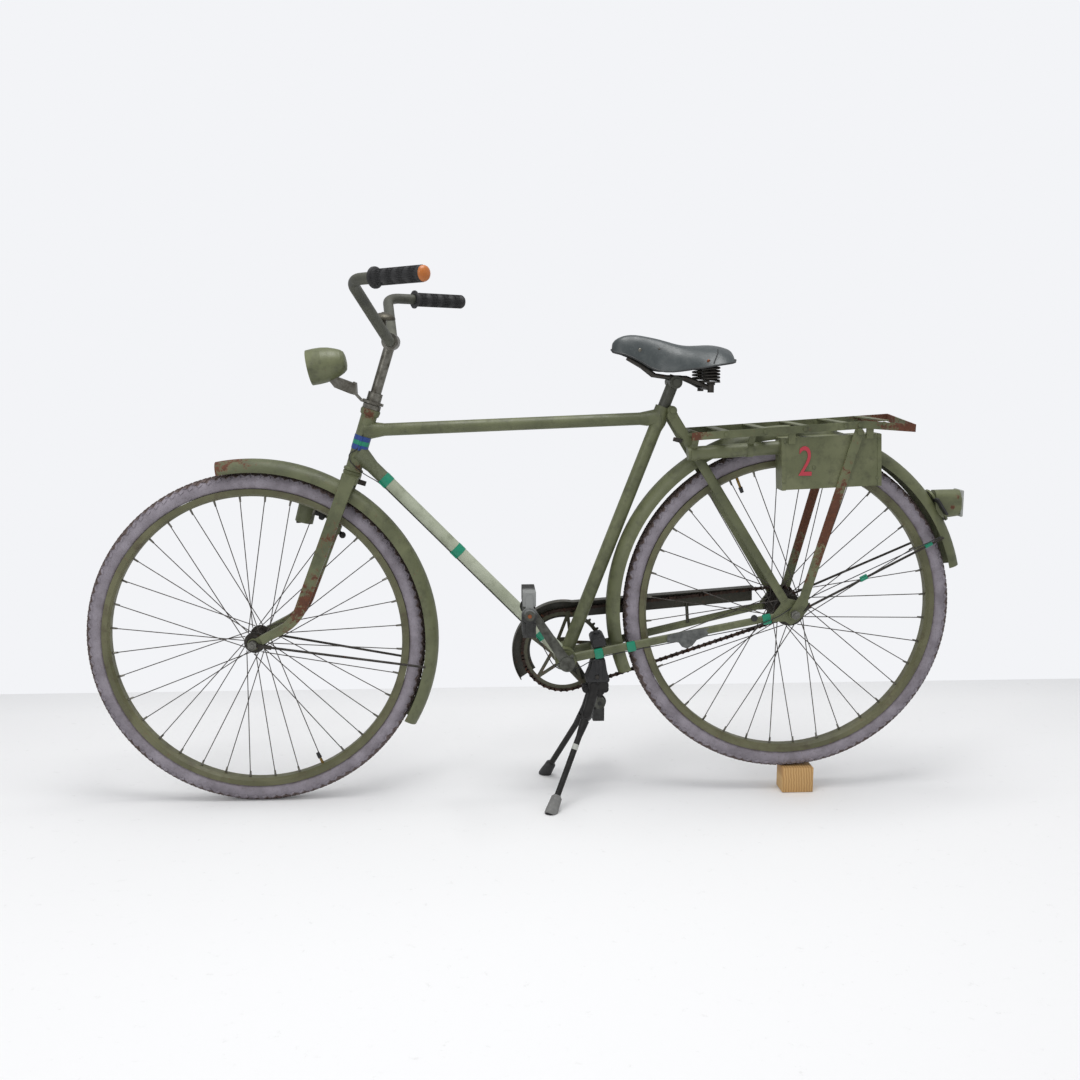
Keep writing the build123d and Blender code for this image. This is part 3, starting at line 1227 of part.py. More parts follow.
for side, name in ((-1, "left"), (1, "right")):
    angle = CRANK_ANGLE + (0 if side < 0 else 180)
    eye = polar(BRACKET, CRANK_LENGTH, angle, side * CRANK_OFFSET)
    boss = shifted(BRACKET, side=side * CRANK_OFFSET)
    with BuildPart() as crank:
        plane = Plane(
            origin=shifted(boss, side=-CRANK_THICKNESS / 2),
            x_dir=polar((0, 0, 0), 1.0, angle),
            z_dir=(0, 1, 0),
        )
        with BuildSketch(plane) as arm:
            Circle(16.5)
            with Locations((CRANK_LENGTH, 0)):
                Circle(13.0)
            with BuildLine():
                Polyline((0, 11.0), (CRANK_LENGTH, 7.5), (CRANK_LENGTH, -7.5), (0, -11.0), close=True)
            make_face()
        extrude(arm.sketch, amount=CRANK_THICKNESS)
        cross_bar(boss, CRANK_THICKNESS / 2 + 3.0, 31.0)
        cotter = Vector(*polar((0, 0, 0), 1.0, angle + 90))
        cotter_spot = Vector(*shifted(boss)) + Vector(*polar((0, 0, 0), 7.0, angle))
        bar(tuple(cotter_spot - cotter * 21.0), tuple(cotter_spot + cotter * 20.0), 8.0)
        bar(boss, shifted(BRACKET, side=side * 0.15), SPINDLE_DIAMETER)
        bar(shifted(eye, side=-9.0), shifted(eye, side=9.0), 9.6, mode=Mode.SUBTRACT)
    save(crank.part, f"{name}_crank")
    with BuildPart() as pedal:
        bar(
            shifted(eye, side=-side * CRANK_THICKNESS / 2),
            shifted(eye, side=side * (PEDAL_LENGTH + 12.0)),
            9.4,
        )
        inner_plate = CRANK_THICKNESS / 2 + PLATE_GAP
        outer_plate = inner_plate + PEDAL_LENGTH
        bar(
            shifted(eye, side=side * (inner_plate - 1.0)), shifted(eye, side=side * (outer_plate + 9.0)), 24.0
        )
        block_up = (PEDAL_HEIGHT - PEDAL_BLOCK_HEIGHT) / 2
        for up in (-block_up, block_up):
            with Locations(shifted(eye, side=side * (inner_plate + outer_plate) / 2, up=up)):
                Box(PEDAL_BLOCK_WIDTH, PEDAL_LENGTH, PEDAL_BLOCK_HEIGHT)
        for place in (inner_plate, outer_plate):
            with BuildSketch(upright_plane(eye[1] + side * place)) as plate:
                with Locations((eye[0], eye[2])):
                    SlotOverall(PEDAL_HEIGHT - 8.0, 15.0, rotation=90)
                    Circle(16.0)
            extrude(plate.sketch, amount=PLATE_WALL / 2, both=True)
    save(pedal.part, f"{name}_pedal")

# Wire that tapes hold along the frame, from the head tube to the rear mudguard.
WIRE_DIAMETER = 2.0
WIRE_LIFT = WIRE_DIAMETER / 2 + FACE_GAP
WIRE_BELOW = 40.0


def under_down_tube(distance):
    """A place on the wire below the down tube, by distance from the head tube's axis."""
    start = Vector(*on_head(DOWN_TUBE_ON_HEAD))
    along = (Vector(*BRACKET) - start).normalized()
    below = Vector(along.Z, 0, -along.X)
    reach = DOWN_TUBE_DIAMETER / 2 + WIRE_LIFT
    turn = math.radians(WIRE_BELOW)
    spot = start + along * distance + below * (reach * math.cos(turn))
    return (spot.X, -reach * math.sin(turn), spot.Z)


def under_stay(behind):
    """A place on the wire below the left chain stay, by distance behind the bottom bracket."""
    first, second, third = CHAIN_STAY_STATIONS
    if behind < second[0]:
        low, high = first, second
    else:
        low, high = second, third
    share = (behind - low[0]) / (high[0] - low[0])
    side = low[1] + (high[1] - low[1]) * share
    height = low[2] + (high[2] - low[2]) * share
    lift = STAY_SLOPE * behind - height / 2 - WIRE_LIFT - FACE_GAP
    return shifted(BRACKET, ahead=behind, side=-side, up=lift)


WIRE_SIDE = REAR_END_SIDE + 6.4
TUBE_END = math.dist(on_head(DOWN_TUBE_ON_HEAD), BRACKET)
WIRE_ROUTE = (
    on_head(86.0, side=-HEAD_TUBE_DIAMETER / 2 - WIRE_LIFT),
    on_head(56.0, side=-HEAD_TUBE_DIAMETER / 2 - WIRE_LIFT),
    on_head(40.0, back=-17.5, side=-15.0),
    on_head(26.0, back=-10.0, side=-21.0),
    on_head(10.0, back=20.0, side=-17.0),
    under_down_tube(74.0),
    under_down_tube(TUBE_END - 66.0),
    shifted(BRACKET, ahead=-22.0, side=-22.0, up=-24.0),
    shifted(BRACKET, ahead=20.0, side=-31.0, up=-24.0),
    under_stay(64.0),
    under_stay(130.0),
    shifted(under_stay(392.0), up=-3.5),
    shifted(REAR_HUB, ahead=-50.0, side=-WIRE_SIDE, up=-13.0),
    shifted(REAR_HUB, ahead=-30.0, side=-WIRE_SIDE - 0.6, up=-4.0),
    shifted(REAR_HUB, ahead=4.0, side=-WIRE_SIDE - 0.6, up=20.0),
    shifted(REAR_HUB, ahead=34.0, side=-WIRE_SIDE, up=35.0),
    polar(GUARD_CENTRE, REAR_GUARD_CREST - 28.0, 24.9, -34.4),
)


def fillet_radius(before, corner, after):
    """The largest radius at a corner that leaves a straight piece on both runs."""
    first = Vector(*corner) - Vector(*before)
    second = Vector(*after) - Vector(*corner)
    half_turn = math.radians(first.get_angle(second)) / 2
    return 0.45 * min(first.length, second.length) / math.tan(half_turn)


corners = zip(WIRE_ROUTE, WIRE_ROUTE[1:], WIRE_ROUTE[2:])
wire_radii = [fillet_radius(*corner) for corner in corners]
with BuildPart() as frame_wire:
    with BuildLine() as route:
        FilletPolyline(*WIRE_ROUTE, radius=wire_radii)
    with BuildSketch(Plane(origin=route.line @ 0, z_dir=route.line % 0)) as wire_end:
        Circle(WIRE_DIAMETER / 2)
    sweep(wire_end.sketch, path=route.line)
save(frame_wire.part, "frame_wire")

# Stand

STAND_PIVOT = (BRACKET[0] + STAND_PIVOT_BEHIND, 0.0, STAND_PIVOT_HEIGHT)
LEG_PIN = 9.0
LEG_BOSS = 22.0
# Legs: name, side, direction from the pivot when folded back beside the rear wheel.
LEGS = (
    ("left", -1, (0.985, -0.12, 0.12)),
    ("right", 1, (0.938, -0.345, -0.03)),
)


def leg_frame(side, folded):
    """A leg's pivot, foot and hinge axis."""
    pivot = shifted(STAND_PIVOT, side=side * STAND_PIVOT_SIDE)
    foot = (BRACKET[0] - FOOT_AHEAD, side * FOOT_SIDE, 0.0)
    axis = (Vector(*foot) - Vector(*pivot)).cross(Vector(*folded)).normalized()
    return pivot, foot, axis


# Stand housing outline from the bottom bracket: behind, above.
HOUSING_OUTLINE = (
    (58.0, -3.0),
    (84.0, -3.0),
    (88.0, -30.0),
    (94.0, -70.0),
    (92.0, -88.0),
    (37.0, -88.0),
    (36.0, -66.0),
    (50.0, -30.0),
)
HOUSING_WIDTH = 42.0
CLAMP_SIZE = (30.0, 74.0, 20.0)
CASTING_SIZE = (20.0, 13.0, 46.0)
CLAMP_BEHIND = 70.0
with BuildPart() as stand_housing:
    outline = [(BRACKET[0] + back, BRACKET[2] + up) for back, up in HOUSING_OUTLINE]
    flat_shape(0.0, outline, HOUSING_WIDTH)
    fillet(stand_housing.edges().filter_by(Axis.Y), 4.0)
    neck = shifted(BRACKET, ahead=CLAMP_BEHIND)
    bar(shifted(neck, up=-8.0), shifted(neck, up=30.0), 19.0)
    clamp_rise = STAY_SLOPE * CLAMP_BEHIND + 10.0 + CLAMP_SIZE[2] / 2
    with Locations(Location(shifted(neck, up=clamp_rise), (0, -math.degrees(math.atan(STAY_SLOPE)), 0))):
        Box(*CLAMP_SIZE)
        with Locations((0, 0, CLAMP_SIZE[2] / 2)):
            Cylinder(8.0, 12.0)
    for name, side, folded in LEGS:
        pivot, foot, axis = leg_frame(side, folded)
        inner = shifted(pivot, *(axis * (18.0 * side)))
        outer = shifted(pivot, *(axis * (-9.0 * side)))
        bar(outer, inner, LEG_PIN)
    with Locations(shifted(STAND_PIVOT, up=CASTING_SIZE[2] / 2)):
        Box(24.0, 12.0, CASTING_SIZE[2] + 16.0)
    add(chain_stays.part, mode=Mode.SUBTRACT)
save(stand_housing.part, "stand_housing")

for name, side, folded in LEGS:
    pivot, foot, axis = leg_frame(side, folded)
    length = math.dist(pivot, foot)
    half = tuple(axis * 7.0)
    pin = tuple(axis * 20.0)
    with BuildPart() as leg:
        bar(pivot, between(pivot, foot, 1.0 - 4.0 / length), LEG_DIAMETER)
        bar(between(pivot, foot, 1.0 - FOOT_LENGTH / length), between(pivot, foot, 1.03), FOOT_DIAMETER)
        bar(shifted(pivot, *[-v for v in half]), shifted(pivot, *half), LEG_BOSS)
        bar(shifted(pivot, *[-v for v in pin]), shifted(pivot, *pin), LEG_PIN + 0.2, mode=Mode.SUBTRACT)
        with Locations((foot[0], foot[1], -50.0)):
            Box(200.0, 200.0, 100.0, mode=Mode.SUBTRACT)
    save(leg.part, f"stand_leg_{name}")

with BuildPart() as block:
    with Locations((REAR_HUB[0] + BLOCK_SHIFT, -3.5, BLOCK_HEIGHT / 2)):
        Box(BLOCK_LENGTH, BLOCK_WIDTH, BLOCK_HEIGHT)
save(block.part, "wheel_block")
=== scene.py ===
"""Dresses a packed military roadster bicycle: finishes, tyres, saddle, chain, tapes and studio."""

import logging
import math
from collections.abc import Iterable
from dataclasses import dataclass
from enum import Enum

import bmesh
import bpy
from mathutils import Matrix, Vector


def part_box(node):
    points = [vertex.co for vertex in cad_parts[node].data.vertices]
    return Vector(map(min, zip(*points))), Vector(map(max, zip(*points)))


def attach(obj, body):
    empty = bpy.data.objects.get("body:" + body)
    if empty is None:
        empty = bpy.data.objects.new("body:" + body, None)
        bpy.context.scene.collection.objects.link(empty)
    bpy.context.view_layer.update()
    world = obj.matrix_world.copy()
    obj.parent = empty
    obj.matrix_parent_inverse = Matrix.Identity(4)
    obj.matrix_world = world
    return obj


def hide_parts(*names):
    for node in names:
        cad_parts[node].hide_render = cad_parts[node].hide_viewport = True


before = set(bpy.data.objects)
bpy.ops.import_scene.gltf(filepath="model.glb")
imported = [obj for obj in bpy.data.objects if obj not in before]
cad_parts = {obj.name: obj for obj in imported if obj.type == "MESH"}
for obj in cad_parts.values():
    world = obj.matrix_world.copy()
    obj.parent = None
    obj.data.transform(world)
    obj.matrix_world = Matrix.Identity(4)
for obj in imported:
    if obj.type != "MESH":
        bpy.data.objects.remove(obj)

LOG = logging.getLogger("bicycle")
Colour = tuple[float, float, float]
Point = tuple[float, float, float]
Spot = tuple[Point, float]
Pair = tuple[float, float]


def colour(red: int, green: int, blue: int) -> Colour:
    """Turn a colour written as 0 to 255 on screen into the linear colour a shader takes.

    Args:
        red: Red share on screen.
        green: Green share on screen.
        blue: Blue share on screen.

    Returns:
        The linear colour.
    """
    linear = []
    for value in (red, green, blue):
        share = value / 255
        linear.append(share / 12.92 if share <= 0.04045 else ((share + 0.055) / 1.055) ** 2.4)
    return tuple(linear)


class Graph:
    """One material's node tree, grown a node at a time."""

    def __init__(self, name: str) -> None:
        """Start a material with its shader and its place coordinates.

        Args:
            name: The material's name.
        """
        self.material = bpy.data.materials.new(name)
        self.material.use_nodes = True
        self.tree = self.material.node_tree
        self.shader = self.tree.nodes["Principled BSDF"]
        self.place = self.tree.nodes.new("ShaderNodeTexCoord").outputs["Object"]

    def plug(self, source: object, socket: bpy.types.NodeSocket) -> None:
        """Feed a socket from another node's output, or set it to a plain value.

        Args:
            source: An output socket, a number or a colour.
            socket: The input that takes it.
        """
        if isinstance(source, bpy.types.NodeSocket):
            self.tree.links.new(source, socket)
        elif isinstance(source, tuple) and socket.type == "RGBA":
            socket.default_value = (*source[:3], 1.0)
        else:
            socket.default_value = source

    def scaled(self, sizes: Point) -> bpy.types.NodeSocket:
        """The place coordinates, stretched along each axis.

        Args:
            sizes: The factor on each axis.

        Returns:
            The stretched coordinates.
        """
        node = self.tree.nodes.new("ShaderNodeMapping")
        node.inputs["Scale"].default_value = sizes
        self.plug(self.place, node.inputs["Vector"])
        return node.outputs["Vector"]

    def noise(self, scale: float, detail: float = 4.0, rough: float = 0.55, at: object = None,
              warp: float = 0.0) -> bpy.types.NodeSocket:
        """Cloudy noise from 0 to 1.

        Args:
            scale: Cells per metre.
            detail: How many finer layers it has.
            rough: How strong the finer layers are.
            at: Coordinates, or None for the object's own.
            warp: How far the pattern twists.

        Returns:
            The noise value.
        """
        node = self.tree.nodes.new("ShaderNodeTexNoise")
        node.inputs["Scale"].default_value = scale
        node.inputs["Detail"].default_value = detail
        node.inputs["Roughness"].default_value = rough
        node.inputs["Distortion"].default_value = warp
        self.plug(at or self.place, node.inputs["Vector"])
        return node.outputs["Fac"]

    def maths(self, operation: str, first: object, second: object = 0.0) -> bpy.types.NodeSocket:
        """Arithmetic on two values.

        Args:
            operation: The node's operation name.
            first: A socket or a number.
            second: A socket or a number.

        Returns:
            The result.
        """
        node = self.tree.nodes.new("ShaderNodeMath")
        node.operation = operation
        self.plug(first, node.inputs[0])
        self.plug(second, node.inputs[1])
        return node.outputs[0]

    def step(self, value: object, low: float, high: float, start: float = 0.0,
             end: float = 1.0) -> bpy.types.NodeSocket:
        """Map a value from low..high to start..end, held at both ends.

        Args:
            value: The socket that is mapped.
            low: Where the change starts.
            high: Where the change ends.
            start: The result at low.
            end: The result at high.

        Returns:
            The mapped value.
        """
        node = self.tree.nodes.new("ShaderNodeMapRange")
        for key, number in (("From Min", low), ("From Max", high), ("To Min", start), ("To Max", end)):
            node.inputs[key].default_value = number
        self.plug(value, node.inputs["Value"])
        return node.outputs["Result"]

    def mix(self, share: object, first: object, second: object) -> bpy.types.NodeSocket:
        """Blend two colours.

        Args:
            share: How much of the second shows.
            first: A colour or a socket.
            second: A colour or a socket.

        Returns:
            The blended colour.
        """
        node = self.tree.nodes.new("ShaderNodeMix")
        node.data_type = "RGBA"
        self.plug(share, node.inputs["Factor"])
        self.plug(first, node.inputs["A"])
        self.plug(second, node.inputs["B"])
        return node.outputs["Result"]

    def near(self, spots: tuple[Spot, ...]) -> bpy.types.NodeSocket:
        """How near a place is to the nearest of some spots, 1 at a spot and 0 at its radius.

        Args:
            spots: The middle and radius of each spot.

        Returns:
            The nearness.
        """
        best = None
        for middle, radius in spots:
            node = self.tree.nodes.new("ShaderNodeVectorMath")
            node.operation = "DISTANCE"
            self.plug(self.place, node.inputs[0])
            node.inputs[1].default_value = middle
            closeness = self.step(node.outputs["Value"], 0.0, radius, 1.0, 0.0)
            best = closeness if best is None else self.maths("MAXIMUM", best, closeness)
        return best

    def axis(self, name: str) -> bpy.types.NodeSocket:
        """One of the place's coordinates.

        Args:
            name: X, Y or Z.

        Returns:
            That coordinate, in metres.
        """
        node = self.tree.nodes.new("ShaderNodeSeparateXYZ")
        self.plug(self.place, node.inputs[0])
        return node.outputs[name]

    def along(self, direction: Point) -> bpy.types.NodeSocket:
        """How far a place lies along a direction.

        Args:
            direction: The direction, of length 1.

        Returns:
            The distance in metres.
        """
        node = self.tree.nodes.new("ShaderNodeVectorMath")
        node.operation = "DOT_PRODUCT"
        self.plug(self.place, node.inputs[0])
        node.inputs[1].default_value = direction
        return node.outputs["Value"]

    def bump(self, height: object, strength: float, depth: float, under: object = None) -> bpy.types.NodeSocket:
        """A relief from a height value.

        Args:
            height: The height socket.
            strength: How strongly it shows.
            depth: Its depth in metres.
            under: Another relief that it lies on.

        Returns:
            The normal.
        """
        node = self.tree.nodes.new("ShaderNodeBump")
        node.inputs["Strength"].default_value = strength
        node.inputs["Distance"].default_value = depth
        self.plug(height, node.inputs["Height"])
        if under:
            self.plug(under, node.inputs["Normal"])
        return node.outputs["Normal"]

    def done(self, base: object, rough: object, normal: object = None, metal: object = 0.0,
             **plain: float) -> bpy.types.Material:
        """Feed the shader and hand over the material.

        Args:
            base: The colour.
            rough: The roughness.
            normal: The relief, if any.
            metal: The metal share.
            **plain: Other sockets by name with underscores for spaces, set to plain values.

        Returns:
            The finished material.
        """
        self.plug(base, self.shader.inputs["Base Color"])
        self.plug(rough, self.shader.inputs["Roughness"])
        self.plug(metal, self.shader.inputs["Metallic"])
        if normal:
            self.plug(normal, self.shader.inputs["Normal"])
        for key, value in plain.items():
            self.plug(value, self.shader.inputs[key.replace("_", " ")])
        return self.material


RUST_DARK = colour(52, 30, 20)
RUST_LIGHT = colour(112, 64, 38)
# Pattern value at which rust starts where its share is 0, and how far a full share lowers it.
RUST_START = 0.79
RUST_SPAN = 0.26
RUST_EDGE = 0.035
RUST_NEAR_SPOTS = 0.32
HALO_WIDTH = 0.06
HALO_DEPTH = 0.35
# Fineness of the paint's patterns, in cells per metre.
FADE_CELLS = 9.0
DIRT_CELLS = 38.0
RUST_CELLS = 70.0
GRAIN_CELLS = 420.0
EDGE_CELLS = 90.0
EDGE_RAGGED = 0.0002


@dataclass(frozen=True)
class WornPaint:
    """Old brushed paint with faded patches, chips and rust."""

    name: str
    shade: Colour
    light: Colour
    dark: Colour
    rust: float = 0.30
    rust_spots: tuple[Spot, ...] = ()
    # A direction, the distance along it where a second colour starts, and that colour, which is a second paint
    # on the down tube and painted shade on the chain cover.
    zone: tuple[Point, float, Colour] | None = None
    gloss: float = 0.44

    def paint(self, graph: Graph) -> bpy.types.NodeSocket:
        """The paint's colour: faded patches, its second colour, which can be painted shade, dirt and grain.

        Args:
            graph: The material that is grown.

        Returns:
            The colour.
        """
        fade = graph.step(graph.noise(FADE_CELLS, 3.0, 0.6, warp=0.6), 0.36, 0.66)
        base = graph.mix(fade, self.shade, self.light)
        if self.zone:
            direction, edge, other = self.zone
            ragged = graph.step(graph.noise(EDGE_CELLS), 0.3, 0.7, -EDGE_RAGGED, EDGE_RAGGED)
            place = graph.maths("ADD", graph.along(direction), ragged)
            share = graph.step(place, edge - EDGE_RAGGED, edge + EDGE_RAGGED, 1.0, 0.0)
            base = graph.mix(share, base, other)
        dirt = graph.step(graph.noise(DIRT_CELLS, 6.0, 0.7), 0.5, 0.72, 0.0, 0.6)
        base = graph.mix(dirt, base, self.dark)
        grain = graph.step(graph.noise(GRAIN_CELLS, 2.0, 0.5), 0.3, 0.8, 0.0, 0.16)
        return graph.mix(grain, base, self.light)

    def rusting(self, graph: Graph) -> tuple[bpy.types.NodeSocket, bpy.types.NodeSocket]:
        """Where the paint has rusted through, and the stain round it.

        Args:
            graph: The material that is grown.

        Returns:
            The share of rust and the share of stain.
        """
        spread = graph.noise(RUST_CELLS, 7.0, 0.72, warp=0.3)
        if self.rust_spots:
            pull = graph.maths("MULTIPLY", graph.near(self.rust_spots), RUST_NEAR_SPOTS)
            spread = graph.maths("ADD", spread, pull)
        edge = RUST_START - RUST_SPAN * self.rust
        rust = graph.step(spread, edge, edge + RUST_EDGE)
        stain = graph.step(spread, edge - HALO_WIDTH, edge, 0.0, HALO_DEPTH)
        return rust, graph.maths("SUBTRACT", stain, graph.maths("MULTIPLY", rust, HALO_DEPTH))

    def build(self) -> bpy.types.Material:
        """Make the material."""
        graph = Graph(self.name)
        rust, stain = self.rusting(graph)
        rusty = graph.mix(graph.noise(190.0, 3.0, 0.6), RUST_DARK, RUST_LIGHT)
        base = graph.mix(stain, graph.mix(rust, self.paint(graph), rusty), RUST_LIGHT)
        rough = graph.step(graph.noise(55.0, 4.0), 0.3, 0.7, self.gloss - 0.05, self.gloss + 0.14)
        rough = graph.maths("ADD", rough, graph.maths("MULTIPLY", rust, 0.3))
        brushed = graph.bump(graph.noise(160.0, 4.0, 0.6), 0.25, 0.0006)
        crust = graph.maths("MULTIPLY", rust, graph.noise(500.0, 3.0))
        return graph.done(base, rough, graph.bump(crust, 0.5, 0.0006, brushed))


@dataclass(frozen=True)
class WornSteel:
    """Plating or bare steel, stained and rusting in spots."""

    name: str
    shade: Colour
    stain: Colour
    metal: float = 0.85
    gloss: float = 0.34
    rust: float = 0.3

    def build(self) -> bpy.types.Material:
        """Make the material."""
        graph = Graph(self.name)
        cloud = graph.step(graph.noise(60.0, 6.0, 0.7), 0.35, 0.68)
        base = graph.mix(cloud, self.shade, self.stain)
        spots = graph.noise(120.0, 6.0, 0.75)
        edge = RUST_START - 0.01 - RUST_SPAN * self.rust
        rust = graph.step(spots, edge, edge + 0.04)
        base = graph.mix(rust, base, graph.mix(graph.noise(300.0, 2.0), RUST_DARK, RUST_LIGHT))
        rough = graph.maths("ADD", graph.step(cloud, 0.0, 1.0, self.gloss, self.gloss + 0.2),
                            graph.maths("MULTIPLY", rust, 0.35))
        metal = graph.step(rust, 0.0, 1.0, self.metal, 0.0)
        relief = graph.bump(graph.noise(260.0, 4.0, 0.6), 0.3, 0.0004)
        return graph.done(base, rough, relief, metal)


@dataclass(frozen=True)
class Moulded:
    """Rubber or plastic with a fine grain, dust and scuffs."""

    name: str
    shade: Colour
    dust: Colour
    dusty: float = 0.3
    gloss: float = 0.55
    grain: float = 900.0
    worn: tuple[Spot, ...] = ()

    def build(self) -> bpy.types.Material:
        """Make the material."""
        graph = Graph(self.name)
        wear = graph.step(graph.noise(45.0, 6.0, 0.7), 0.5, 0.78, 0.0, self.dusty)
        scuff = graph.step(graph.noise(210.0, 4.0, 0.7), 0.6, 0.7, 0.0, self.dusty)
        pale = graph.maths("MAXIMUM", wear, scuff)
        if self.worn:
            patchy = graph.step(graph.noise(130.0), 0.2, 0.55, 0.6, 2.2)
            rubbed = graph.maths("MULTIPLY", graph.near(self.worn), patchy)
            pale = graph.maths("MINIMUM", graph.maths("MAXIMUM", pale, rubbed), 0.95)
        base = graph.mix(pale, self.shade, self.dust)
        rough = graph.step(graph.noise(80.0, 4.0), 0.3, 0.7, self.gloss - 0.08, self.gloss + 0.12)
        relief = graph.bump(graph.noise(self.grain, 2.0, 0.5), 0.35, 0.0003)
        return graph.done(base, rough, relief)


@dataclass(frozen=True)
class TyreRubber:
    """Aged pale rubber, bleached on the sides and dark in the tread."""

    name: str
    side: Colour
    pale: Colour
    tread: Colour
    hub: Point
    tread_radius: float
    teeth: int
    lip_radius: float = 0.319

    def from_hub(self, graph: Graph) -> bpy.types.NodeSocket:
        """How far a place is from the wheel's axis.

        Args:
            graph: The material that is grown.

        Returns:
            The distance in metres.
        """
        flat = graph.tree.nodes.new("ShaderNodeVectorMath")
        flat.operation = "MULTIPLY"
        graph.plug(graph.place, flat.inputs[0])
        flat.inputs[1].default_value = (1.0, 0.0, 1.0)
        away = graph.tree.nodes.new("ShaderNodeVectorMath")
        away.operation = "DISTANCE"
        graph.plug(flat.outputs["Vector"], away.inputs[0])
        away.inputs[1].default_value = (self.hub[0], 0.0, self.hub[2])
        return away.outputs["Value"]

    def darkened(self, graph: Graph, radius: bpy.types.NodeSocket) -> bpy.types.NodeSocket:
        """The tread's dark share, with one tooth for each of its blocks along its edge.

        Args:
            graph: The material that is grown.
            radius: The distance from the axis.

        Returns:
            The share.
        """
        level = graph.maths("SUBTRACT", graph.axis("Z"), self.hub[2])
        angle = graph.maths("ARCTAN2", level, graph.maths("SUBTRACT", graph.axis("X"), self.hub[0]))
        teeth = graph.maths("PINGPONG", graph.maths("MULTIPLY", angle, self.teeth / math.tau), 0.5)
        for shift in (graph.step(teeth, 0.0, 0.5, -0.0028, 0.0028),
                      graph.step(graph.noise(9.0, 3.0), 0.35, 0.65, -0.0035, 0.0025),
                      graph.step(graph.noise(150.0), 0.3, 0.7, -0.0015, 0.0015)):
            radius = graph.maths("ADD", radius, shift)
        return graph.step(radius, self.tread_radius - 0.001, self.tread_radius + 0.001, 0.0, 0.85)

    def build(self) -> bpy.types.Material:
        """Make the material."""
        graph = Graph(self.name)
        cloud = graph.step(graph.noise(24.0, 5.0, 0.65), 0.36, 0.66)
        speck = graph.step(graph.noise(330.0, 4.0, 0.7), 0.55, 0.7, 0.0, 0.5)
        base = graph.mix(speck, graph.mix(cloud, self.side, self.pale), self.tread)
        radius = self.from_hub(graph)
        base = graph.mix(self.darkened(graph, radius), base, self.tread)
        # Darker in a ragged band next to the rim, towards the tread colour.
        rim_side_darkening = graph.step(graph.noise(70.0, 4.0), 0.35, 0.65, 0.0, 0.55)
        lip = graph.step(radius, self.lip_radius, self.lip_radius + 0.004, 1.0, 0.0)
        base = graph.mix(graph.maths("MULTIPLY", lip, rim_side_darkening), base, self.tread)
        relief = graph.bump(graph.noise(240.0, 5.0, 0.7), 0.4, 0.0005)
        return graph.done(base, graph.step(cloud, 0.0, 1.0, 0.72, 0.88), relief)


@dataclass(frozen=True)
class Softwood:
    """Sawn wood with its grain along one axis."""

    name: str
    early: Colour
    late: Colour

    def build(self) -> bpy.types.Material:
        """Make the material."""
        graph = Graph(self.name)
        stretched = graph.scaled((1.0, 0.06, 1.0))
        rings = graph.tree.nodes.new("ShaderNodeTexWave")
        rings.wave_type = "RINGS"
        rings.rings_direction = "Y"
        rings.inputs["Scale"].default_value = 55.0
        rings.inputs["Distortion"].default_value = 3.0
        rings.inputs["Detail"].default_value = 2.0
        graph.plug(stretched, rings.inputs["Vector"])
        fibre = graph.noise(420.0, 4.0, 0.6, stretched)
        base = graph.mix(graph.step(rings.outputs["Fac"], 0.2, 0.9), self.early, self.late)
        base = graph.mix(graph.step(fibre, 0.5, 0.8, 0.0, 0.4), base, self.late)
        return graph.done(base, 0.68, graph.bump(fibre, 0.35, 0.0004))


@dataclass(frozen=True)
class LampGlass:
    """Clear lamp glass."""

    name: str
    tint: Colour

    def build(self) -> bpy.types.Material:
        """Make the material."""
        graph = Graph(self.name)
        relief = graph.bump(graph.noise(160.0, 2.0), 0.2, 0.0006)
        return graph.done(self.tint, 0.08, relief, 0.0, Transmission_Weight=0.85, IOR=1.45)


OLIVE_SHADE = colour(80, 84, 57)
OLIVE_LIGHT = colour(103, 107, 76)
OLIVE_DARK = colour(44, 46, 31)
# Painted shade for the chain cover's inner faces, which lie in the shadow behind the chainring.
INSIDE_PAINTED_SHADE = colour(40, 36, 27)


def on_both_sides(*spots: Spot) -> tuple[Spot, ...]:
    """Spots on the right side, each with its mirror image on the left.

    Args:
        *spots: The middle and radius of each spot.

    Returns:
        All the spots.
    """
    return tuple(((x, side * y, z), radius) for (x, y, z), radius in spots for side in (-1, 1))


def olive(part: str, rust: float, spots: tuple[Spot, ...] = (),
          zone: tuple[Point, float, Colour] | None = None) -> WornPaint:
    """The bicycle's olive paint as one part wears it.

    Args:
        part: The part, as its material's name gives it.
        rust: Its share of rust.
        spots: The places that have rusted most: middle and radius, in metres.
        zone: Where it has a second colour, which can be painted shade.

    Returns:
        The finish.
    """
    return WornPaint(f"olive_paint{part}", OLIVE_SHADE, OLIVE_LIGHT, OLIVE_DARK, rust, spots, zone)


OLIVE = olive("", 0.2)
RIM_PAINT = WornPaint("olive_paint_rim", colour(82, 82, 55), colour(104, 103, 74), colour(58, 42, 29), 0.42)
BOX_PAINT = WornPaint("olive_paint_box", colour(92, 96, 66), colour(112, 115, 84), colour(50, 50, 34), 0.28)
HEAD_PAINT = olive("_head", 0.25, (((-0.325, -0.016, 0.82), 0.025), ((-0.35, -0.016, 0.71), 0.018)))
FORK_PAINT = olive("_fork", 0.45, (((-0.475, -0.045, 0.36), 0.06), ((-0.386, -0.02, 0.651), 0.03))
                   + on_both_sides(((-0.378, 0.04, 0.56), 0.07), ((-0.45, 0.045, 0.43), 0.1)))
NOSE_PAINT = olive("_nose", 0.42, (((-0.643, 0.0, 0.714), 0.07), ((-0.593, 0.0, 0.72), 0.04)))
RACK_PAINT = olive("_rack", 0.5, (((0.325, -0.08, 0.78), 0.05),)
                   + on_both_sides(((0.782, 0.08, 0.8), 0.1), ((0.61, 0.08, 0.6), 0.16)))
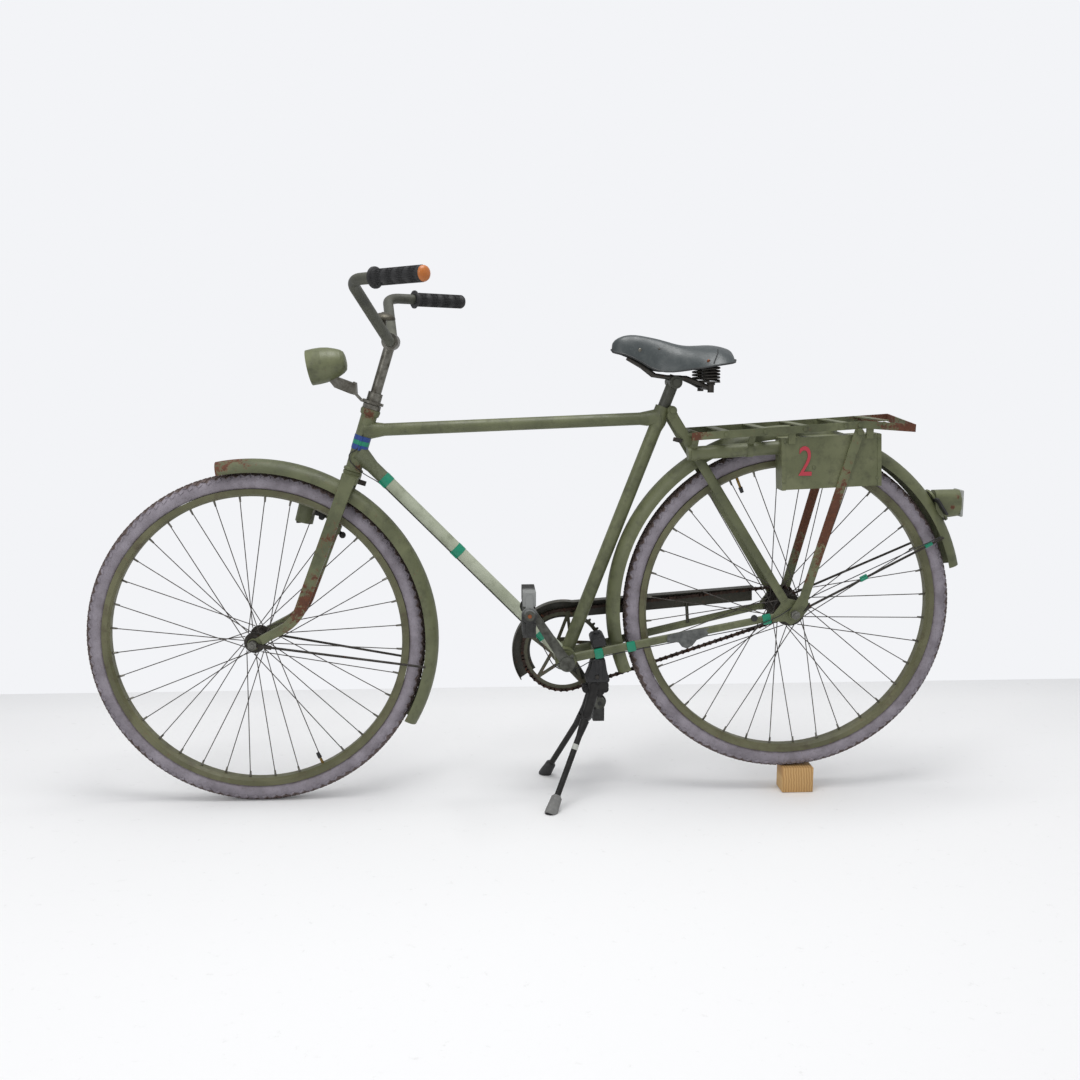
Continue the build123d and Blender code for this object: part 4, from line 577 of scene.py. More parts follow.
LAMP_PAINT = olive("_lamp", 0.2, (((0.905, -0.02, 0.645), 0.012), ((0.895, -0.02, 0.62), 0.01),
                                  ((0.9, -0.02, 0.6), 0.01)))
# The chain cover is painted dark on all but its outer face: painted shade for its inner faces.
COVER_PAINT = olive("_cover", 0.5, zone=((0.0, 1.0, 0.0), 0.0551, INSIDE_PAINTED_SHADE))
RING_PAINT = WornPaint("olive_paint_ring", colour(62, 61, 45), colour(78, 77, 57), colour(36, 33, 25), 0.65)
PALE = WornPaint("pale_primer", colour(150, 156, 134), colour(178, 183, 164), colour(98, 104, 78), 0.05, (),
                 ((0.7009, 0.0, -0.7132), -0.6934, OLIVE_SHADE))
PALE_CHIP = WornPaint("pale_chip", colour(168, 170, 162), colour(190, 191, 186), colour(104, 104, 98), 0.05)
BAR_PAINT = WornPaint("bar_paint", colour(60, 61, 52), colour(80, 81, 69), colour(34, 34, 30), 0.35)
DARK_STEEL = WornSteel("dark_steel", colour(66, 63, 58), colour(40, 36, 33), 0.6, 0.42, 0.6)
BLACK_STEEL = WornSteel("black_steel", colour(38, 37, 36), colour(26, 25, 24), 0.4, 0.45, 0.15)
SPOKE_STEEL = WornSteel("spoke_steel", colour(92, 88, 84), colour(52, 46, 42), 0.6, 0.4, 0.35)
AXLE_STEEL = WornSteel("axle_steel", colour(128, 128, 122), colour(74, 72, 66), 0.7, 0.36, 0.25)
CRANK_STEEL = WornSteel("crank_steel", colour(98, 99, 92), colour(58, 58, 52), 0.55, 0.42, 0.2)
PLATE_STEEL = WornSteel("speckled_plate", colour(112, 114, 112), colour(78, 80, 79), 0.5, 0.5, 0.1)
PLATING = WornSteel("worn_plating", colour(132, 130, 122), colour(76, 72, 64), 0.8, 0.32, 0.25)
CHAIN_STEEL = WornSteel("chain_steel", colour(62, 44, 34), colour(36, 27, 23), 0.5, 0.5, 0.8)
BELL_METAL = WornSteel("bell_metal", colour(92, 88, 76), colour(56, 54, 46), 0.6, 0.4, 0.25)
COPPER = WornSteel("copper_rivet", colour(150, 92, 62), colour(92, 58, 44), 0.8, 0.35, 0.1)
BLACK_RUBBER = Moulded("black_rubber", colour(30, 30, 31), colour(88, 88, 86), 0.22, 0.5)
PEDAL_RUBBER = Moulded("pedal_rubber", colour(36, 36, 34), colour(140, 142, 140), 0.16, 0.55, 500.0,
                       (((-0.0057, -0.17, 0.475), 0.05),))
GREY_RUBBER = Moulded("grey_rubber", colour(112, 112, 110), colour(160, 160, 157), 0.5, 0.7)
BLACK_PLASTIC = Moulded("black_plastic", colour(29, 29, 31), colour(96, 96, 94), 0.25, 0.55)
SADDLE_SKIN = Moulded("saddle_skin", colour(54, 60, 61), colour(92, 97, 95), 0.45, 0.36, 1400.0)
PIPING = Moulded("saddle_piping", colour(36, 38, 39), colour(80, 82, 80), 0.3, 0.45)
GREEN_TAPE = Moulded("green_tape", colour(14, 128, 98), colour(58, 160, 132), 0.35, 0.4, 300.0)
BLUE_TAPE = Moulded("blue_tape", colour(26, 60, 128), colour(70, 100, 150), 0.3, 0.4, 300.0)
AMBER = Moulded("amber_cap", colour(176, 100, 40), colour(204, 140, 84), 0.3, 0.3, 500.0)
RED_PAINT = Moulded("red_number", colour(176, 52, 66), colour(146, 70, 72), 0.5, 0.5, 400.0)
LENS_GREY = Moulded("tail_lens", colour(150, 152, 148), colour(186, 187, 184), 0.5, 0.25, 300.0)
BRASS = WornSteel("brass", colour(148, 120, 66), colour(98, 78, 46), 0.85, 0.35, 0.05)
WOOD = Softwood("block_wood", colour(200, 163, 108), colour(176, 134, 82))
GLASS = LampGlass("lamp_glass", colour(225, 230, 228))

TYRE_SIDE = colour(116, 110, 117)
TYRE_PALE = colour(146, 140, 148)
TYRE_TREAD = colour(82, 66, 58)
TREAD_RADIUS = 0.3435
FULL_TURN = 2 * math.pi


class Side(Enum):
    """A side of the bicycle, as the sign of its Y."""

    LEFT = -1
    RIGHT = 1

    @property
    def label(self) -> str:
        """The side's name as node names write it."""
        return self.name.lower()


def mm(x: float, y: float, z: float) -> Vector:
    """A place given in millimetres, in metres.

    Args:
        x: Towards the rear.
        y: To the rider's right.
        z: Up.

    Returns:
        The place.
    """
    return Vector((x, y, z)) / 1000


def profile(rows: Iterable[Pair]) -> list[Pair]:
    """A turned piece's profile given in millimetres, in metres.

    Args:
        rows: Distances along the axis, each with its radius.

    Returns:
        The same rows in metres.
    """
    return [(along / 1000, radius / 1000) for along, radius in rows]


def around(angle: float) -> Vector:
    """The direction at an angle in a wheel's plane.

    Args:
        angle: The angle from the rear, in radians.

    Returns:
        The direction, of length 1.
    """
    return Vector((math.cos(angle), 0, math.sin(angle)))


def corners(node: str) -> tuple[Vector, Vector]:
    """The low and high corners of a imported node's box.

    Args:
        node: The node.

    Returns:
        Both corners in metres.
    """
    low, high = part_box(node)
    return Vector(low), Vector(high)


def wheel_middle(end: str) -> Vector:
    """A wheel's middle.

    Args:
        end: Front or rear.

    Returns:
        The middle of its tyre's box.
    """
    low, high = corners(f"{end}_tyre")
    return (low + high) / 2


def facing(origin: Vector, direction: Vector) -> Matrix:
    """A placement whose Z axis points in a direction.

    Args:
        origin: Where it sits.
        direction: Where its Z points.

    Returns:
        The placement.
    """
    return Matrix.Translation(origin) @ direction.to_track_quat("Z", "Y").to_matrix().to_4x4()


def read_table(table: tuple[tuple[float, ...], ...], place: float) -> tuple[float, ...]:
    """Read a table of sizes by place, easing between its rows.

    Args:
        table: Rows that each start with their place.
        place: Where to read it.

    Returns:
        The other columns at that place.
    """
    for low, high in zip(table, table[1:]):
        if place <= high[0]:
            break
    share = min(max((place - low[0]) / (high[0] - low[0]), 0.0), 1.0)
    return tuple(first + (second - first) * share for first, second in zip(low[1:], high[1:]))


# The frame's fixed places: the head tube's foot and direction, the bottom bracket and the rear hub.
HEAD_FOOT = mm(-364.6, 0, 695.86)
HEAD_UP = Vector((0.3007, 0, 0.9537))
BRACKET = mm(76.41, 0, 305.0)
REAR_HUB = mm(550.41, 0, 405.3)


class Shape:
    """One piece, grown in metres from bmesh operators."""

    def __init__(self, name: str) -> None:
        """Start an empty piece.

        Args:
            name: The piece's name.
        """
        self.name = name
        self.work = bmesh.new()

    def join(self, part: bmesh.types.BMesh, matrix: Matrix) -> None:
        """Move a part into place and take it in.

        Args:
            part: The part, which is used up.
            matrix: Its placement.
        """
        bmesh.ops.transform(part, matrix=matrix, verts=part.verts[:])
        scratch = bpy.data.meshes.new("scratch")
        part.to_mesh(scratch)
        part.free()
        self.work.from_mesh(scratch)
        bpy.data.meshes.remove(scratch)

    def rod(self, start: Vector, end: Vector, radius: float, end_radius: float | None = None,
            sides: int = 16) -> None:
        """A round bar or cone between two places.

        Args:
            start: Its start.
            end: Its end.
            radius: Its radius at the start.
            end_radius: Its radius at the end, or None for the same.
            sides: How many sides it has.
        """
        part = bmesh.new()
        last = radius if end_radius is None else end_radius
        bmesh.ops.create_cone(part, cap_ends=True, segments=sides, radius1=radius, radius2=last,
                              depth=(end - start).length)
        self.join(part, facing((start + end) / 2, end - start))

    def block(self, matrix: Matrix, size: Vector, bevel: float = 0.0) -> None:
        """A box with eased edges.

        Args:
            matrix: Its placement, by its middle.
            size: Its three sizes.
            bevel: How far its edges are eased.
        """
        part = bmesh.new()
        bmesh.ops.create_cube(part, size=1.0)
        bmesh.ops.scale(part, vec=size, verts=part.verts[:])
        if bevel:
            bmesh.ops.bevel(part, geom=part.edges[:], offset=bevel, segments=2, profile=0.5, affect="EDGES",
                            material=-1)
        self.join(part, matrix)

    def turned(self, stations: list[Pair], matrix: Matrix, steps: int = 40,
               closed: bool = False) -> None:
        """A profile spun round the placement's Z axis.

        Args:
            stations: Distances along the axis, each with its radius.
            matrix: The placement.
            steps: How many steps the turn takes.
            closed: Whether the profile runs back to its start.
        """
        part = bmesh.new()
        spots = [part.verts.new((radius, 0.0, along)) for along, radius in stations]
        runs = [part.edges.new(pair) for pair in zip(spots, spots[1:])]
        if closed:
            runs.append(part.edges.new((spots[-1], spots[0])))
        bmesh.ops.spin(part, geom=[*spots, *runs], cent=(0, 0, 0), axis=(0, 0, 1), dvec=(0, 0, 0),
                       angle=FULL_TURN, steps=steps, use_merge=True)
        bmesh.ops.remove_doubles(part, verts=part.verts[:], dist=1e-6)
        self.join(part, matrix)

    def ball(self, middle: Vector, radius: float, squash: Vector = Vector((1, 1, 1))) -> None:
        """A ball, or an egg if it is squashed.

        Args:
            middle: Its middle.
            radius: Its radius.
            squash: The factor on each axis.
        """
        part = bmesh.new()
        bmesh.ops.create_uvsphere(part, u_segments=16, v_segments=10, radius=radius)
        bmesh.ops.scale(part, vec=squash, verts=part.verts[:])
        self.join(part, Matrix.Translation(middle))

    def tube(self, route: list[Vector], radius: float, closed: bool = False, sides: int = 2) -> None:
        """A round bar along a route of short straight runs.

        Args:
            route: Its places.
            radius: Its radius.
            closed: Whether it runs back to its start.
            sides: The fineness of its section.
        """
        line = bpy.data.curves.new("scratch", "CURVE")
        line.dimensions = "3D"
        line.bevel_depth = radius
        line.bevel_resolution = sides
        line.use_fill_caps = not closed
        spline = line.splines.new("POLY")
        spline.points.add(len(route) - 1)
        for point, spot in zip(spline.points, route):
            point.co = (*spot, 1.0)
        spline.use_cyclic_u = closed
        holder = bpy.data.objects.new("scratch", line)
        mesh = bpy.data.meshes.new_from_object(holder)
        self.work.from_mesh(mesh)
        bpy.data.meshes.remove(mesh)
        bpy.data.objects.remove(holder)
        bpy.data.curves.remove(line)

    def loft(self, rings: list[list[Vector]]) -> None:
        """A skin over rings of places, closed at both ends.

        Args:
            rings: The rings, each with the same number of places.
        """
        part = bmesh.new()
        loops = []
        for ring in rings:
            made = bmesh.ops.create_circle(part, segments=len(ring), radius=1.0)["verts"]
            for vertex, spot in zip(made, ring):
                vertex.co = spot
            loops.append(list({edge for vertex in made for edge in vertex.link_edges}))
        for first, second in zip(loops, loops[1:]):
            bmesh.ops.bridge_loops(part, edges=first + second)
        for loop in (loops[0], loops[-1]):
            bmesh.ops.edgeloop_fill(part, edges=loop)
        self.join(part, Matrix())

    def cut_below(self, level: float) -> None:
        """Cut the piece off flat below a height and close the cut.

        Args:
            level: The height, in metres.
        """
        whole = [*self.work.verts, *self.work.edges, *self.work.faces]
        made = bmesh.ops.bisect_plane(self.work, geom=whole, dist=1e-6, plane_co=(0, 0, level),
                                      plane_no=(0, 0, 1), clear_inner=True)
        rim = [item for item in made["geom_cut"] if isinstance(item, bmesh.types.BMEdge)]
        bmesh.ops.edgeloop_fill(self.work, edges=rim)

    def build(self, body: str, finish: object, slot: str, replaced: tuple[str, ...] = (),
              sharp: float = 35.0) -> bpy.types.Object:
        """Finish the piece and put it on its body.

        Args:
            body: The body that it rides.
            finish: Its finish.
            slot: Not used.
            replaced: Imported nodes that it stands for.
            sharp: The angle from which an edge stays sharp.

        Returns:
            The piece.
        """
        bmesh.ops.recalc_face_normals(self.work, faces=self.work.faces[:])
        mesh = bpy.data.meshes.new(self.name)
        self.work.to_mesh(mesh)
        self.work.free()
        mesh.shade_smooth()
        mesh.set_sharp_from_angle(angle=math.radians(sharp))
        mesh.materials.append(made_once(finish))
        piece = bpy.data.objects.new(self.name, mesh)
        bpy.context.scene.collection.objects.link(piece)
        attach(piece, body)
        if replaced:
            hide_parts(*replaced)
        LOG.info("%s: %d faces", self.name, len(mesh.polygons))
        return piece


MADE: dict[str, bpy.types.Material] = {}


def made_once(finish: object) -> bpy.types.Material:
    """A finish's material, made the first time that it is asked for.

    Args:
        finish: The finish.

    Returns:
        Its material.
    """
    if finish.name not in MADE:
        MADE[finish.name] = finish.build()
    return MADE[finish.name]


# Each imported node's finish.
FINISHES = {
    OLIVE: ("top_tube", "seat_tube", "bottom_bracket", "chain_stays", "seat_stays",
            "rear_mudguard", "pump_cylinder", "headlamp", "dynamo"),
    BOX_PAINT: ("tool_box",),
    RIM_PAINT: ("front_rim", "rear_rim"),
    HEAD_PAINT: ("head_tube",),
    FORK_PAINT: ("fork",),
    NOSE_PAINT: ("front_mudguard",),
    RACK_PAINT: ("rear_rack",),
    LAMP_PAINT: ("tail_lamp",),
    COVER_PAINT: ("chain_cover",),
    RING_PAINT: ("chainring",),
    PALE: ("down_tube",),
    BAR_PAINT: ("handlebar", "seat_post"),
    DARK_STEEL: ("saddle_underframe", "saddle_springs", "front_hub", "rear_hub", "rear_sprocket",
                 "rear_mudguard_stays", "front_mudguard_stays"),
    AXLE_STEEL: ("front_axle", "rear_axle"),
    BLACK_STEEL: ("stand_leg_left", "stand_leg_right"),
    SPOKE_STEEL: ("front_spokes", "rear_spokes"),
    PLATING: ("stem", "headset_nuts", "headlamp_bracket"),
    CRANK_STEEL: ("left_crank", "right_crank"),
    PEDAL_RUBBER: ("left_pedal", "right_pedal"),
    CHAIN_STEEL: ("chain",),
    BELL_METAL: ("bell",),
    BLACK_RUBBER: ("left_grip", "right_grip"),
    BLACK_PLASTIC: ("stand_housing", "frame_wire"),
    SADDLE_SKIN: ("saddle_cover",),
    WOOD: ("wheel_block",),
    GLASS: ("headlamp_lens",),
}


def dress_nodes() -> None:
    """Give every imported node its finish."""
    for finish, names in FINISHES.items():
        for name in names:
            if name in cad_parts:
                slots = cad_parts[name].data.materials
                slots.clear()
                slots.append(made_once(finish))


@dataclass
class Tyre:
    """One tyre: a round carcass, three rows of tread blocks on each side and its valve."""

    end: str
    valve_angle: float
    valve_radius: float
    ring_radius: float = 331.0
    tube_radius: float = 18.4
    lip_angle: float = 135.0
    blocks: int = 108
    rows: tuple[float, ...] = (11.0, 34.0, 56.0)
    block_size: Point = (9.5, 7.0, 2.4)
    block_slant: float = 24.0
    valve_foot: float = 304.0

    def carcass(self, shape: Shape) -> None:
        """Spin the tyre's section round the hub.

        Args:
            shape: The piece that takes it.
        """
        rows = []
        for step in range(-9, 10):
            angle = math.radians(self.lip_angle * step / 9)
            rows.append((self.tube_radius * math.sin(angle),
                         self.ring_radius + self.tube_radius * math.cos(angle)))
        shape.turned(profile(rows), facing(wheel_middle(self.end), Vector((0, 1, 0))), 144, closed=True)

    def tread(self, shape: Shape) -> None:
        """Lay the rows of tread blocks, each row half a block on from its neighbour.

        Args:
            shape: The piece that takes them.
        """
        turn = FULL_TURN / self.blocks
        for number, row in enumerate(self.rows):
            odd = number % 2
            for side in Side:
                start = turn * (odd / 2 + side.value / 4)
                slant = math.radians(self.block_slant) * side.value * (1 if odd else -1)
                seat = Matrix.Rotation(start, 4, "Y") @ Matrix.Translation(mm(0, 0, self.ring_radius))
                seat = seat @ Matrix.Rotation(-math.radians(row) * side.value, 4, "X")
                seat = seat @ Matrix.Translation(mm(0, 0, self.tube_radius + 0.4))
                part = bmesh.new()
                bmesh.ops.create_cube(part, size=1.0)
                bmesh.ops.scale(part, vec=mm(*self.block_size), verts=part.verts[:])
                bmesh.ops.transform(part, matrix=seat @ Matrix.Rotation(slant, 4, "Z"), verts=part.verts[:])
                whole = [*part.verts, *part.edges, *part.faces]
                bmesh.ops.spin(part, geom=whole, cent=(0, 0, 0), axis=(0, 1, 0), dvec=(0, 0, 0),
                               angle=turn * (self.blocks - 1), steps=self.blocks - 1, use_duplicate=True)
                shape.join(part, Matrix.Translation(wheel_middle(self.end)))

    def build(self) -> None:
        """Make the tyre and its valve."""
        wheel, name = f"{self.end}_wheel", f"{self.end}_tyre_rubber"
        middle = wheel_middle(self.end)
        shape = Shape(name)
        self.carcass(shape)
        self.tread(shape)
        finish = TyreRubber(name, TYRE_SIDE, TYRE_PALE, TYRE_TREAD, tuple(middle), TREAD_RADIUS, self.blocks)
        shape.build(wheel, finish, "tyre_rubber", (f"{self.end}_tyre",), 50.0)
        out = around(math.radians(self.valve_angle))
        root, tip = (middle + out * radius / 1000 for radius in (self.valve_foot, self.valve_radius))
        valve = Shape(f"{self.end}_valve")
        valve.rod(root, tip, 0.0032, 0.0028)
        valve.build(wheel, BRASS, "bell_metal")
        cap = Shape(f"{self.end}_valve_cap")
        cap.rod(tip + out * 0.002, tip - out * 0.010, 0.0045, 0.0038, 12)
        cap.build(wheel, BLACK_RUBBER, "black_rubber")


@dataclass
class Nipples:
    """The spoke nipples inside one rim."""

    end: str
    count: int = 36
    first: float = 5.0
    outer: float = 303.0
    inner: float = 290.0
    offset: float = 1.5
    # Radius at the rim and at the spoke.
    thickness: Pair = (2.6, 1.9)

    def build(self) -> None:
        """Make all of one wheel's nipples."""
        middle = wheel_middle(self.end)
        thick, thin = (radius / 1000 for radius in self.thickness)
        shape = Shape(f"{self.end}_nipples")
        for number in range(self.count):
            out = around(math.radians(self.first + 360 / self.count * number))
            foot = middle + mm(0, self.offset if number % 2 else -self.offset, 0)
            shape.rod(foot + out * self.outer / 1000, foot + out * self.inner / 1000, thick, thin, 8)
        shape.build(f"{self.end}_wheel", PLATING, "bare_steel")


@dataclass
class Saddle:
    """The saddle's stitched cover with piping, rivets and coil springs."""

    clamp: Vector = mm(300.1, 0, 883.2)
    # Place behind the clamp, half width, flap edge and ridge above the clamp.
    sections: tuple[tuple[float, ...], ...] = (
        (-129, 8, 66, 77), (-124, 17, 61, 85), (-116, 23, 59, 90), (-107, 26, 57, 94), (-91, 29, 51, 97),
        (-71, 31, 41, 95.5), (-51, 36, 29, 91.5), (-38, 40, 24, 89), (-24, 47, 22, 85.5), (-9, 54, 22, 81),
        (5, 63, 23.5, 77), (18, 72, 25.5, 75), (31, 82, 28, 74), (50, 96, 31, 75), (69, 103, 34.5, 76),
        (82, 104, 36.5, 74.5), (93, 102, 38, 72), (103, 95, 39.5, 69), (109, 86, 41, 66), (112, 76, 45, 61),
    )
    ring_steps: int = 48
    piping_radius: float = 1.9
    # The seam of the rear panel: place behind the clamp, height above it.
    seam: tuple[Pair, ...] = ((78, 66), (76, 60), (71, 52), (67, 45), (64, 39))
    # Place behind the clamp, height above it, radius.
    rivets: tuple[Point, ...] = ((-74, 65, 4.0), (-35, 67, 2.2))
    copper_rivet: Point = (55, 43, 3.5)
    wire_radius: float = 0.0022

    def spot(self, place: float, side: float, up: float) -> Vector:
        """A place on the saddle.

        Args:
            place: Behind the clamp.
            side: To the right.
            up: Above the clamp.

        Returns:
            The place in the model.
        """
        return self.clamp + mm(place, side, up)

    def side_at(self, place: float, up: float) -> float:
        """The cover's half width at a place and height.

        Args:
            place: Behind the clamp.
            up: Above the clamp.

        Returns:
            The half width.
        """
        half, low, high = read_table(self.sections, place)
        return half * min(max((high - up) / (high - low), 0.0), 1.0) ** (1 / 3.0)

    def ring(self, place: float) -> list[Vector]:
        """One section of the cover: domed above, slightly hollow below.

        Args:
            place: Behind the clamp.

        Returns:
            The places round it.
        """
        half, low, high = read_table(self.sections, place)
        spots = []
        for step in range(self.ring_steps):
            angle = FULL_TURN * step / self.ring_steps
            share = math.cos(angle)
            if math.sin(angle) >= -1e-9:
                flat = math.copysign(abs(share) ** 0.62, share)
                up = high - (high - low) * abs(flat) ** 3.0
            else:
                flat = share * 0.985
                up = low + 7.0 * (1 - abs(share) ** 6)
            spots.append(self.spot(place, half * flat, up))
        return spots

    def skin(self) -> None:
        """Make the cover itself."""
        shape = Shape("saddle_skin")
        shape.loft([self.ring(row[0]) for row in self.sections])
        piece = shape.build("frame", SADDLE_SKIN, "saddle_vinyl", ("saddle_cover",), 60.0)
        smooth = piece.modifiers.new("smooth", "SUBSURF")
        smooth.levels = 1
        smooth.render_levels = 1

    def trim(self) -> None:
        """Make the piping along the flap and the seams of the rear panel."""
        shape = Shape("saddle_piping")
        left = [self.spot(place, -half, low) for place, half, low, _ in self.sections]
        right = [self.spot(place, half, low) for place, half, low, _ in reversed(self.sections)]
        shape.tube(left + right, self.piping_radius / 1000, closed=True)
        for side in Side:
            seam = [self.spot(place, side.value * (self.side_at(place, up) + 0.3), up)
                    for place, up in self.seam]
            shape.tube(seam, self.piping_radius * 0.6 / 1000)
        shape.build("frame", PIPING, "saddle_vinyl")

    def studs(self) -> None:
        """Make the rivets on both flaps."""
        for name, rivets, finish, slot in (
            ("saddle_rivets", self.rivets, PLATING, "bare_steel"),
            ("saddle_copper_rivets", (self.copper_rivet,), COPPER, "bell_metal"),
        ):
            shape = Shape(name)
            for side in Side:
                for place, up, radius in rivets:
                    middle = self.spot(place, side.value * self.side_at(place, up), up)
                    shape.ball(middle, radius / 1000, Vector((1, 0.45, 1)))
            shape.build("frame", finish, slot)

    def springs(self, turns: float = 4.5, steps: int = 22) -> None:
        """Wind the two coil springs within their solids.

        Args:
            turns: How many turns each has.
            steps: Runs in a turn.
        """
        low, high = corners("saddle_springs")
        wire = self.wire_radius
        radius = (high.x - low.x) / 2 - wire
        count = int(turns * steps)
        shape = Shape("coil_springs")
        for side in Side:
            base = Vector(((low.x + high.x) / 2, side.value * (high.y - radius - wire), low.z))
            rise = high.z - low.z - 2 * wire
            route = []
            for step in range(count + 1):
                angle = FULL_TURN * step / steps
                turned = Vector((radius * math.cos(angle), radius * math.sin(angle), rise * step / count))
                route.append(base + Vector((0, 0, wire)) + turned)
            shape.tube(route, wire)
            shape.rod(base - mm(0, 0, 2.2), base + mm(0, 0, 0.4), radius + wire, sides=32)
            shape.rod(base - mm(0, 0, 7.0), base - mm(0, 0, 2.0), 0.009, sides=6)
        shape.build("frame", DARK_STEEL, "dark_steel", ("saddle_springs",), 60.0)

    def build(self) -> None:
        """Make the saddle."""
        self.skin()
        self.trim()
        self.studs()
        self.springs()


@dataclass
class Grips:
    """The two moulded grips and the amber cap on the left one's end."""

    turn: float = -5.5
    bend: Vector = mm(-319.8, 205, 1068.8)
    bend_reach: float = 64.0
    splay: float = 36.0
    length: float = 128.0
    radius: float = 15.2
    # The flange at the inner end: place along the grip, radius.
    flange: tuple[Pair, ...] = ((0.0, 0.0), (0.0, 18.5), (1.2, 20.0), (3.8, 20.0), (5.0, 18.5))
    wave: float = 1.9
    waves: int = 4
    wave_steps: int = 48
    wave_start: float = 6.0
    wave_end: float = 120.0
    ribs: int = 28
    rib_radius: float = 0.6
    # Where the ribs start and end along the grip.
    rib_run: Pair = (8.0, 122.0)
    # The amber cap's profile: place along the grip, radius.
    cap: tuple[Pair, ...] = ((122, 0), (122, 14.4), (125, 14.4), (128.4, 13.0), (130.8, 9.5),
                                            (132.0, 5.0), (132.4, 0))

    def placement(self, side: Side) -> Matrix:
        """Where a grip sits: its origin at the inner end, Z along it.

        Args:
            side: The side.

        Returns:
            The placement.
        """
        splay = math.radians(self.splay)
        along = Vector((math.cos(splay), side.value * math.sin(splay), 0))
        start = Vector((self.bend.x, side.value * self.bend.y, self.bend.z)) + along * self.bend_reach / 1000
        turn = (Matrix.Translation(HEAD_FOOT) @ Matrix.Rotation(math.radians(self.turn), 4, HEAD_UP)
                @ Matrix.Translation(-HEAD_FOOT))
        return turn @ facing(start, along)

    def rows(self) -> list[Pair]:
        """The grip's profile: flange, finger waves and a rounded end."""
        rows = [*self.flange, (self.wave_start, self.radius)]
        for step in range(1, self.wave_steps + 1):
            share = step / self.wave_steps
            hollow = 0.5 - 0.5 * math.cos(FULL_TURN * self.waves * share)
            place = self.wave_start + (self.wave_end - self.wave_start) * share
            rows.append((place, self.radius - self.wave * hollow))
        for short, lower in ((4.0, 1.0), (1.0, 3.4), (0.0, 6.0), (0.0, self.radius)):
            rows.append((self.length - short, self.radius - lower))
        return rows

    def build(self) -> None:
        """Make both grips and the cap."""
        start, end = (mm(0, 0, place) for place in self.rib_run)
        for side in Side:
            place = self.placement(side)
            shape = Shape(f"{side.label}_grip_rubber")
            shape.turned(profile(self.rows()), place, 36)
            for rib in range(self.ribs):
                angle = FULL_TURN * rib / self.ribs
                out = Vector((math.cos(angle), math.sin(angle), 0)) * (self.radius - 0.5) / 1000
                shape.rod(place @ (out + start), place @ (out + end), self.rib_radius / 1000, sides=6)
            shape.build("steering", BLACK_RUBBER, "black_rubber", (f"{side.label}_grip",))
        cap = Shape("left_grip_cap")
        cap.turned(profile(self.cap), self.placement(Side.LEFT), 28)
        cap.build("steering", AMBER, "black_plastic")


@dataclass
class Bell:
    """The bell: a domed cup with a rolled lip on a short post."""

    # Height above the bell's foot, radius.
    dome: tuple[Pair, ...] = (
        (13.5, 0), (13.5, 21.5), (12.6, 23.6), (14.5, 24.0), (17.5, 23.4), (20.5, 21.6), (23.5, 18.0),
        (25.8, 13.0), (27.2, 7.0), (27.6, 3.6), (28.6, 3.2), (29.0, 0),
    )
    post: tuple[Pair, ...] = ((0, 0), (0, 5.2), (14, 5), (14, 0))

    def build(self) -> None:
        """Make the bell within its solid."""
        low, high = corners("bell")
        foot = Matrix.Translation(Vector(((low.x + high.x) / 2, (low.y + high.y) / 2, low.z)))
        shape = Shape("bell_dome")
        shape.turned(profile(self.dome), foot, 40)
        shape.turned(profile(self.post), foot, 16)
        shape.build("steering", BELL_METAL, "bell_metal", ("bell",), 50.0)


@dataclass
class Chain:
    """The chain's links round the chainring and the sprocket."""

    side: float = 47.0
    ring_radius: float = 89.0
    cog_radius: float = 36.57
    arc_steps: int = 48
    pitch: float = 12.7
    plate: float = 4.1
    waist: float = 5.6
    wall: float = 1.1
    roller: float = 1.9
    inner_side: float = 1.8
    outer_side: float = 2.9

    def line(self) -> list[Vector]:
        """The chain's closed line in the wheel's plane, in millimetres."""
        ring, cog = (Vector((spot.x, spot.z)) * 1000 for spot in (BRACKET, REAR_HUB))
        run = cog - ring
        heading = math.atan2(run.y, run.x)
        lean = math.acos((self.ring_radius - self.cog_radius) / run.length)
        line = []
        for middle, radius, start, end in (
            (ring, self.ring_radius, heading + lean, heading - lean + FULL_TURN),
            (cog, self.cog_radius, heading - lean, heading + lean),
        ):
            for step in range(self.arc_steps + 1):
                angle = start + (end - start) * step / self.arc_steps
                line.append(middle + Vector((math.cos(angle), math.sin(angle))) * radius)
        return [*line, line[0]]

    def pins(self) -> list[Vector]:
        """The pins' places, a pitch apart round the loop."""
        line = self.line()
        runs = list(zip(line, line[1:]))
        total = sum((after - before).length for before, after in runs)
        count = 2 * round(total / self.pitch / 2)
        spots, travelled, wanted = [], 0.0, 0.0
        for before, after in runs:
            length = (after - before).length
            while wanted <= travelled + length and len(spots) < count:
                spot = before.lerp(after, (wanted - travelled) / length)
                spots.append(mm(spot.x, self.side, spot.y))
                wanted += total / count
            travelled += length
        return spots

    def build(self) -> None:
        """Make every link's plates and rollers."""
        shape = Shape("chain_links")
        thick = mm(0, self.wall / 2, 0)
        half_pin = mm(0, self.outer_side + 0.5, 0)
        pins = self.pins()
        for number, (here, there) in enumerate(zip(pins, pins[1:] + pins[:1])):
            turn = (there - here).normalized().to_track_quat("X", "Z").to_matrix().to_4x4()
            out = self.outer_side if number % 2 else self.inner_side
            for side in (mm(0, -out, 0), mm(0, out, 0)):
                for pin in (here + side, there + side):
                    shape.rod(pin - thick, pin + thick, self.plate / 1000, sides=10)
                waist = Matrix.Translation((here + there) / 2 + side) @ turn
                shape.block(waist, mm(self.pitch - 2, self.wall, self.waist))
            shape.rod(here - half_pin, here + half_pin, self.roller / 1000, sides=8)
        shape.build("frame", CHAIN_STEEL, "chain_steel", ("chain",))


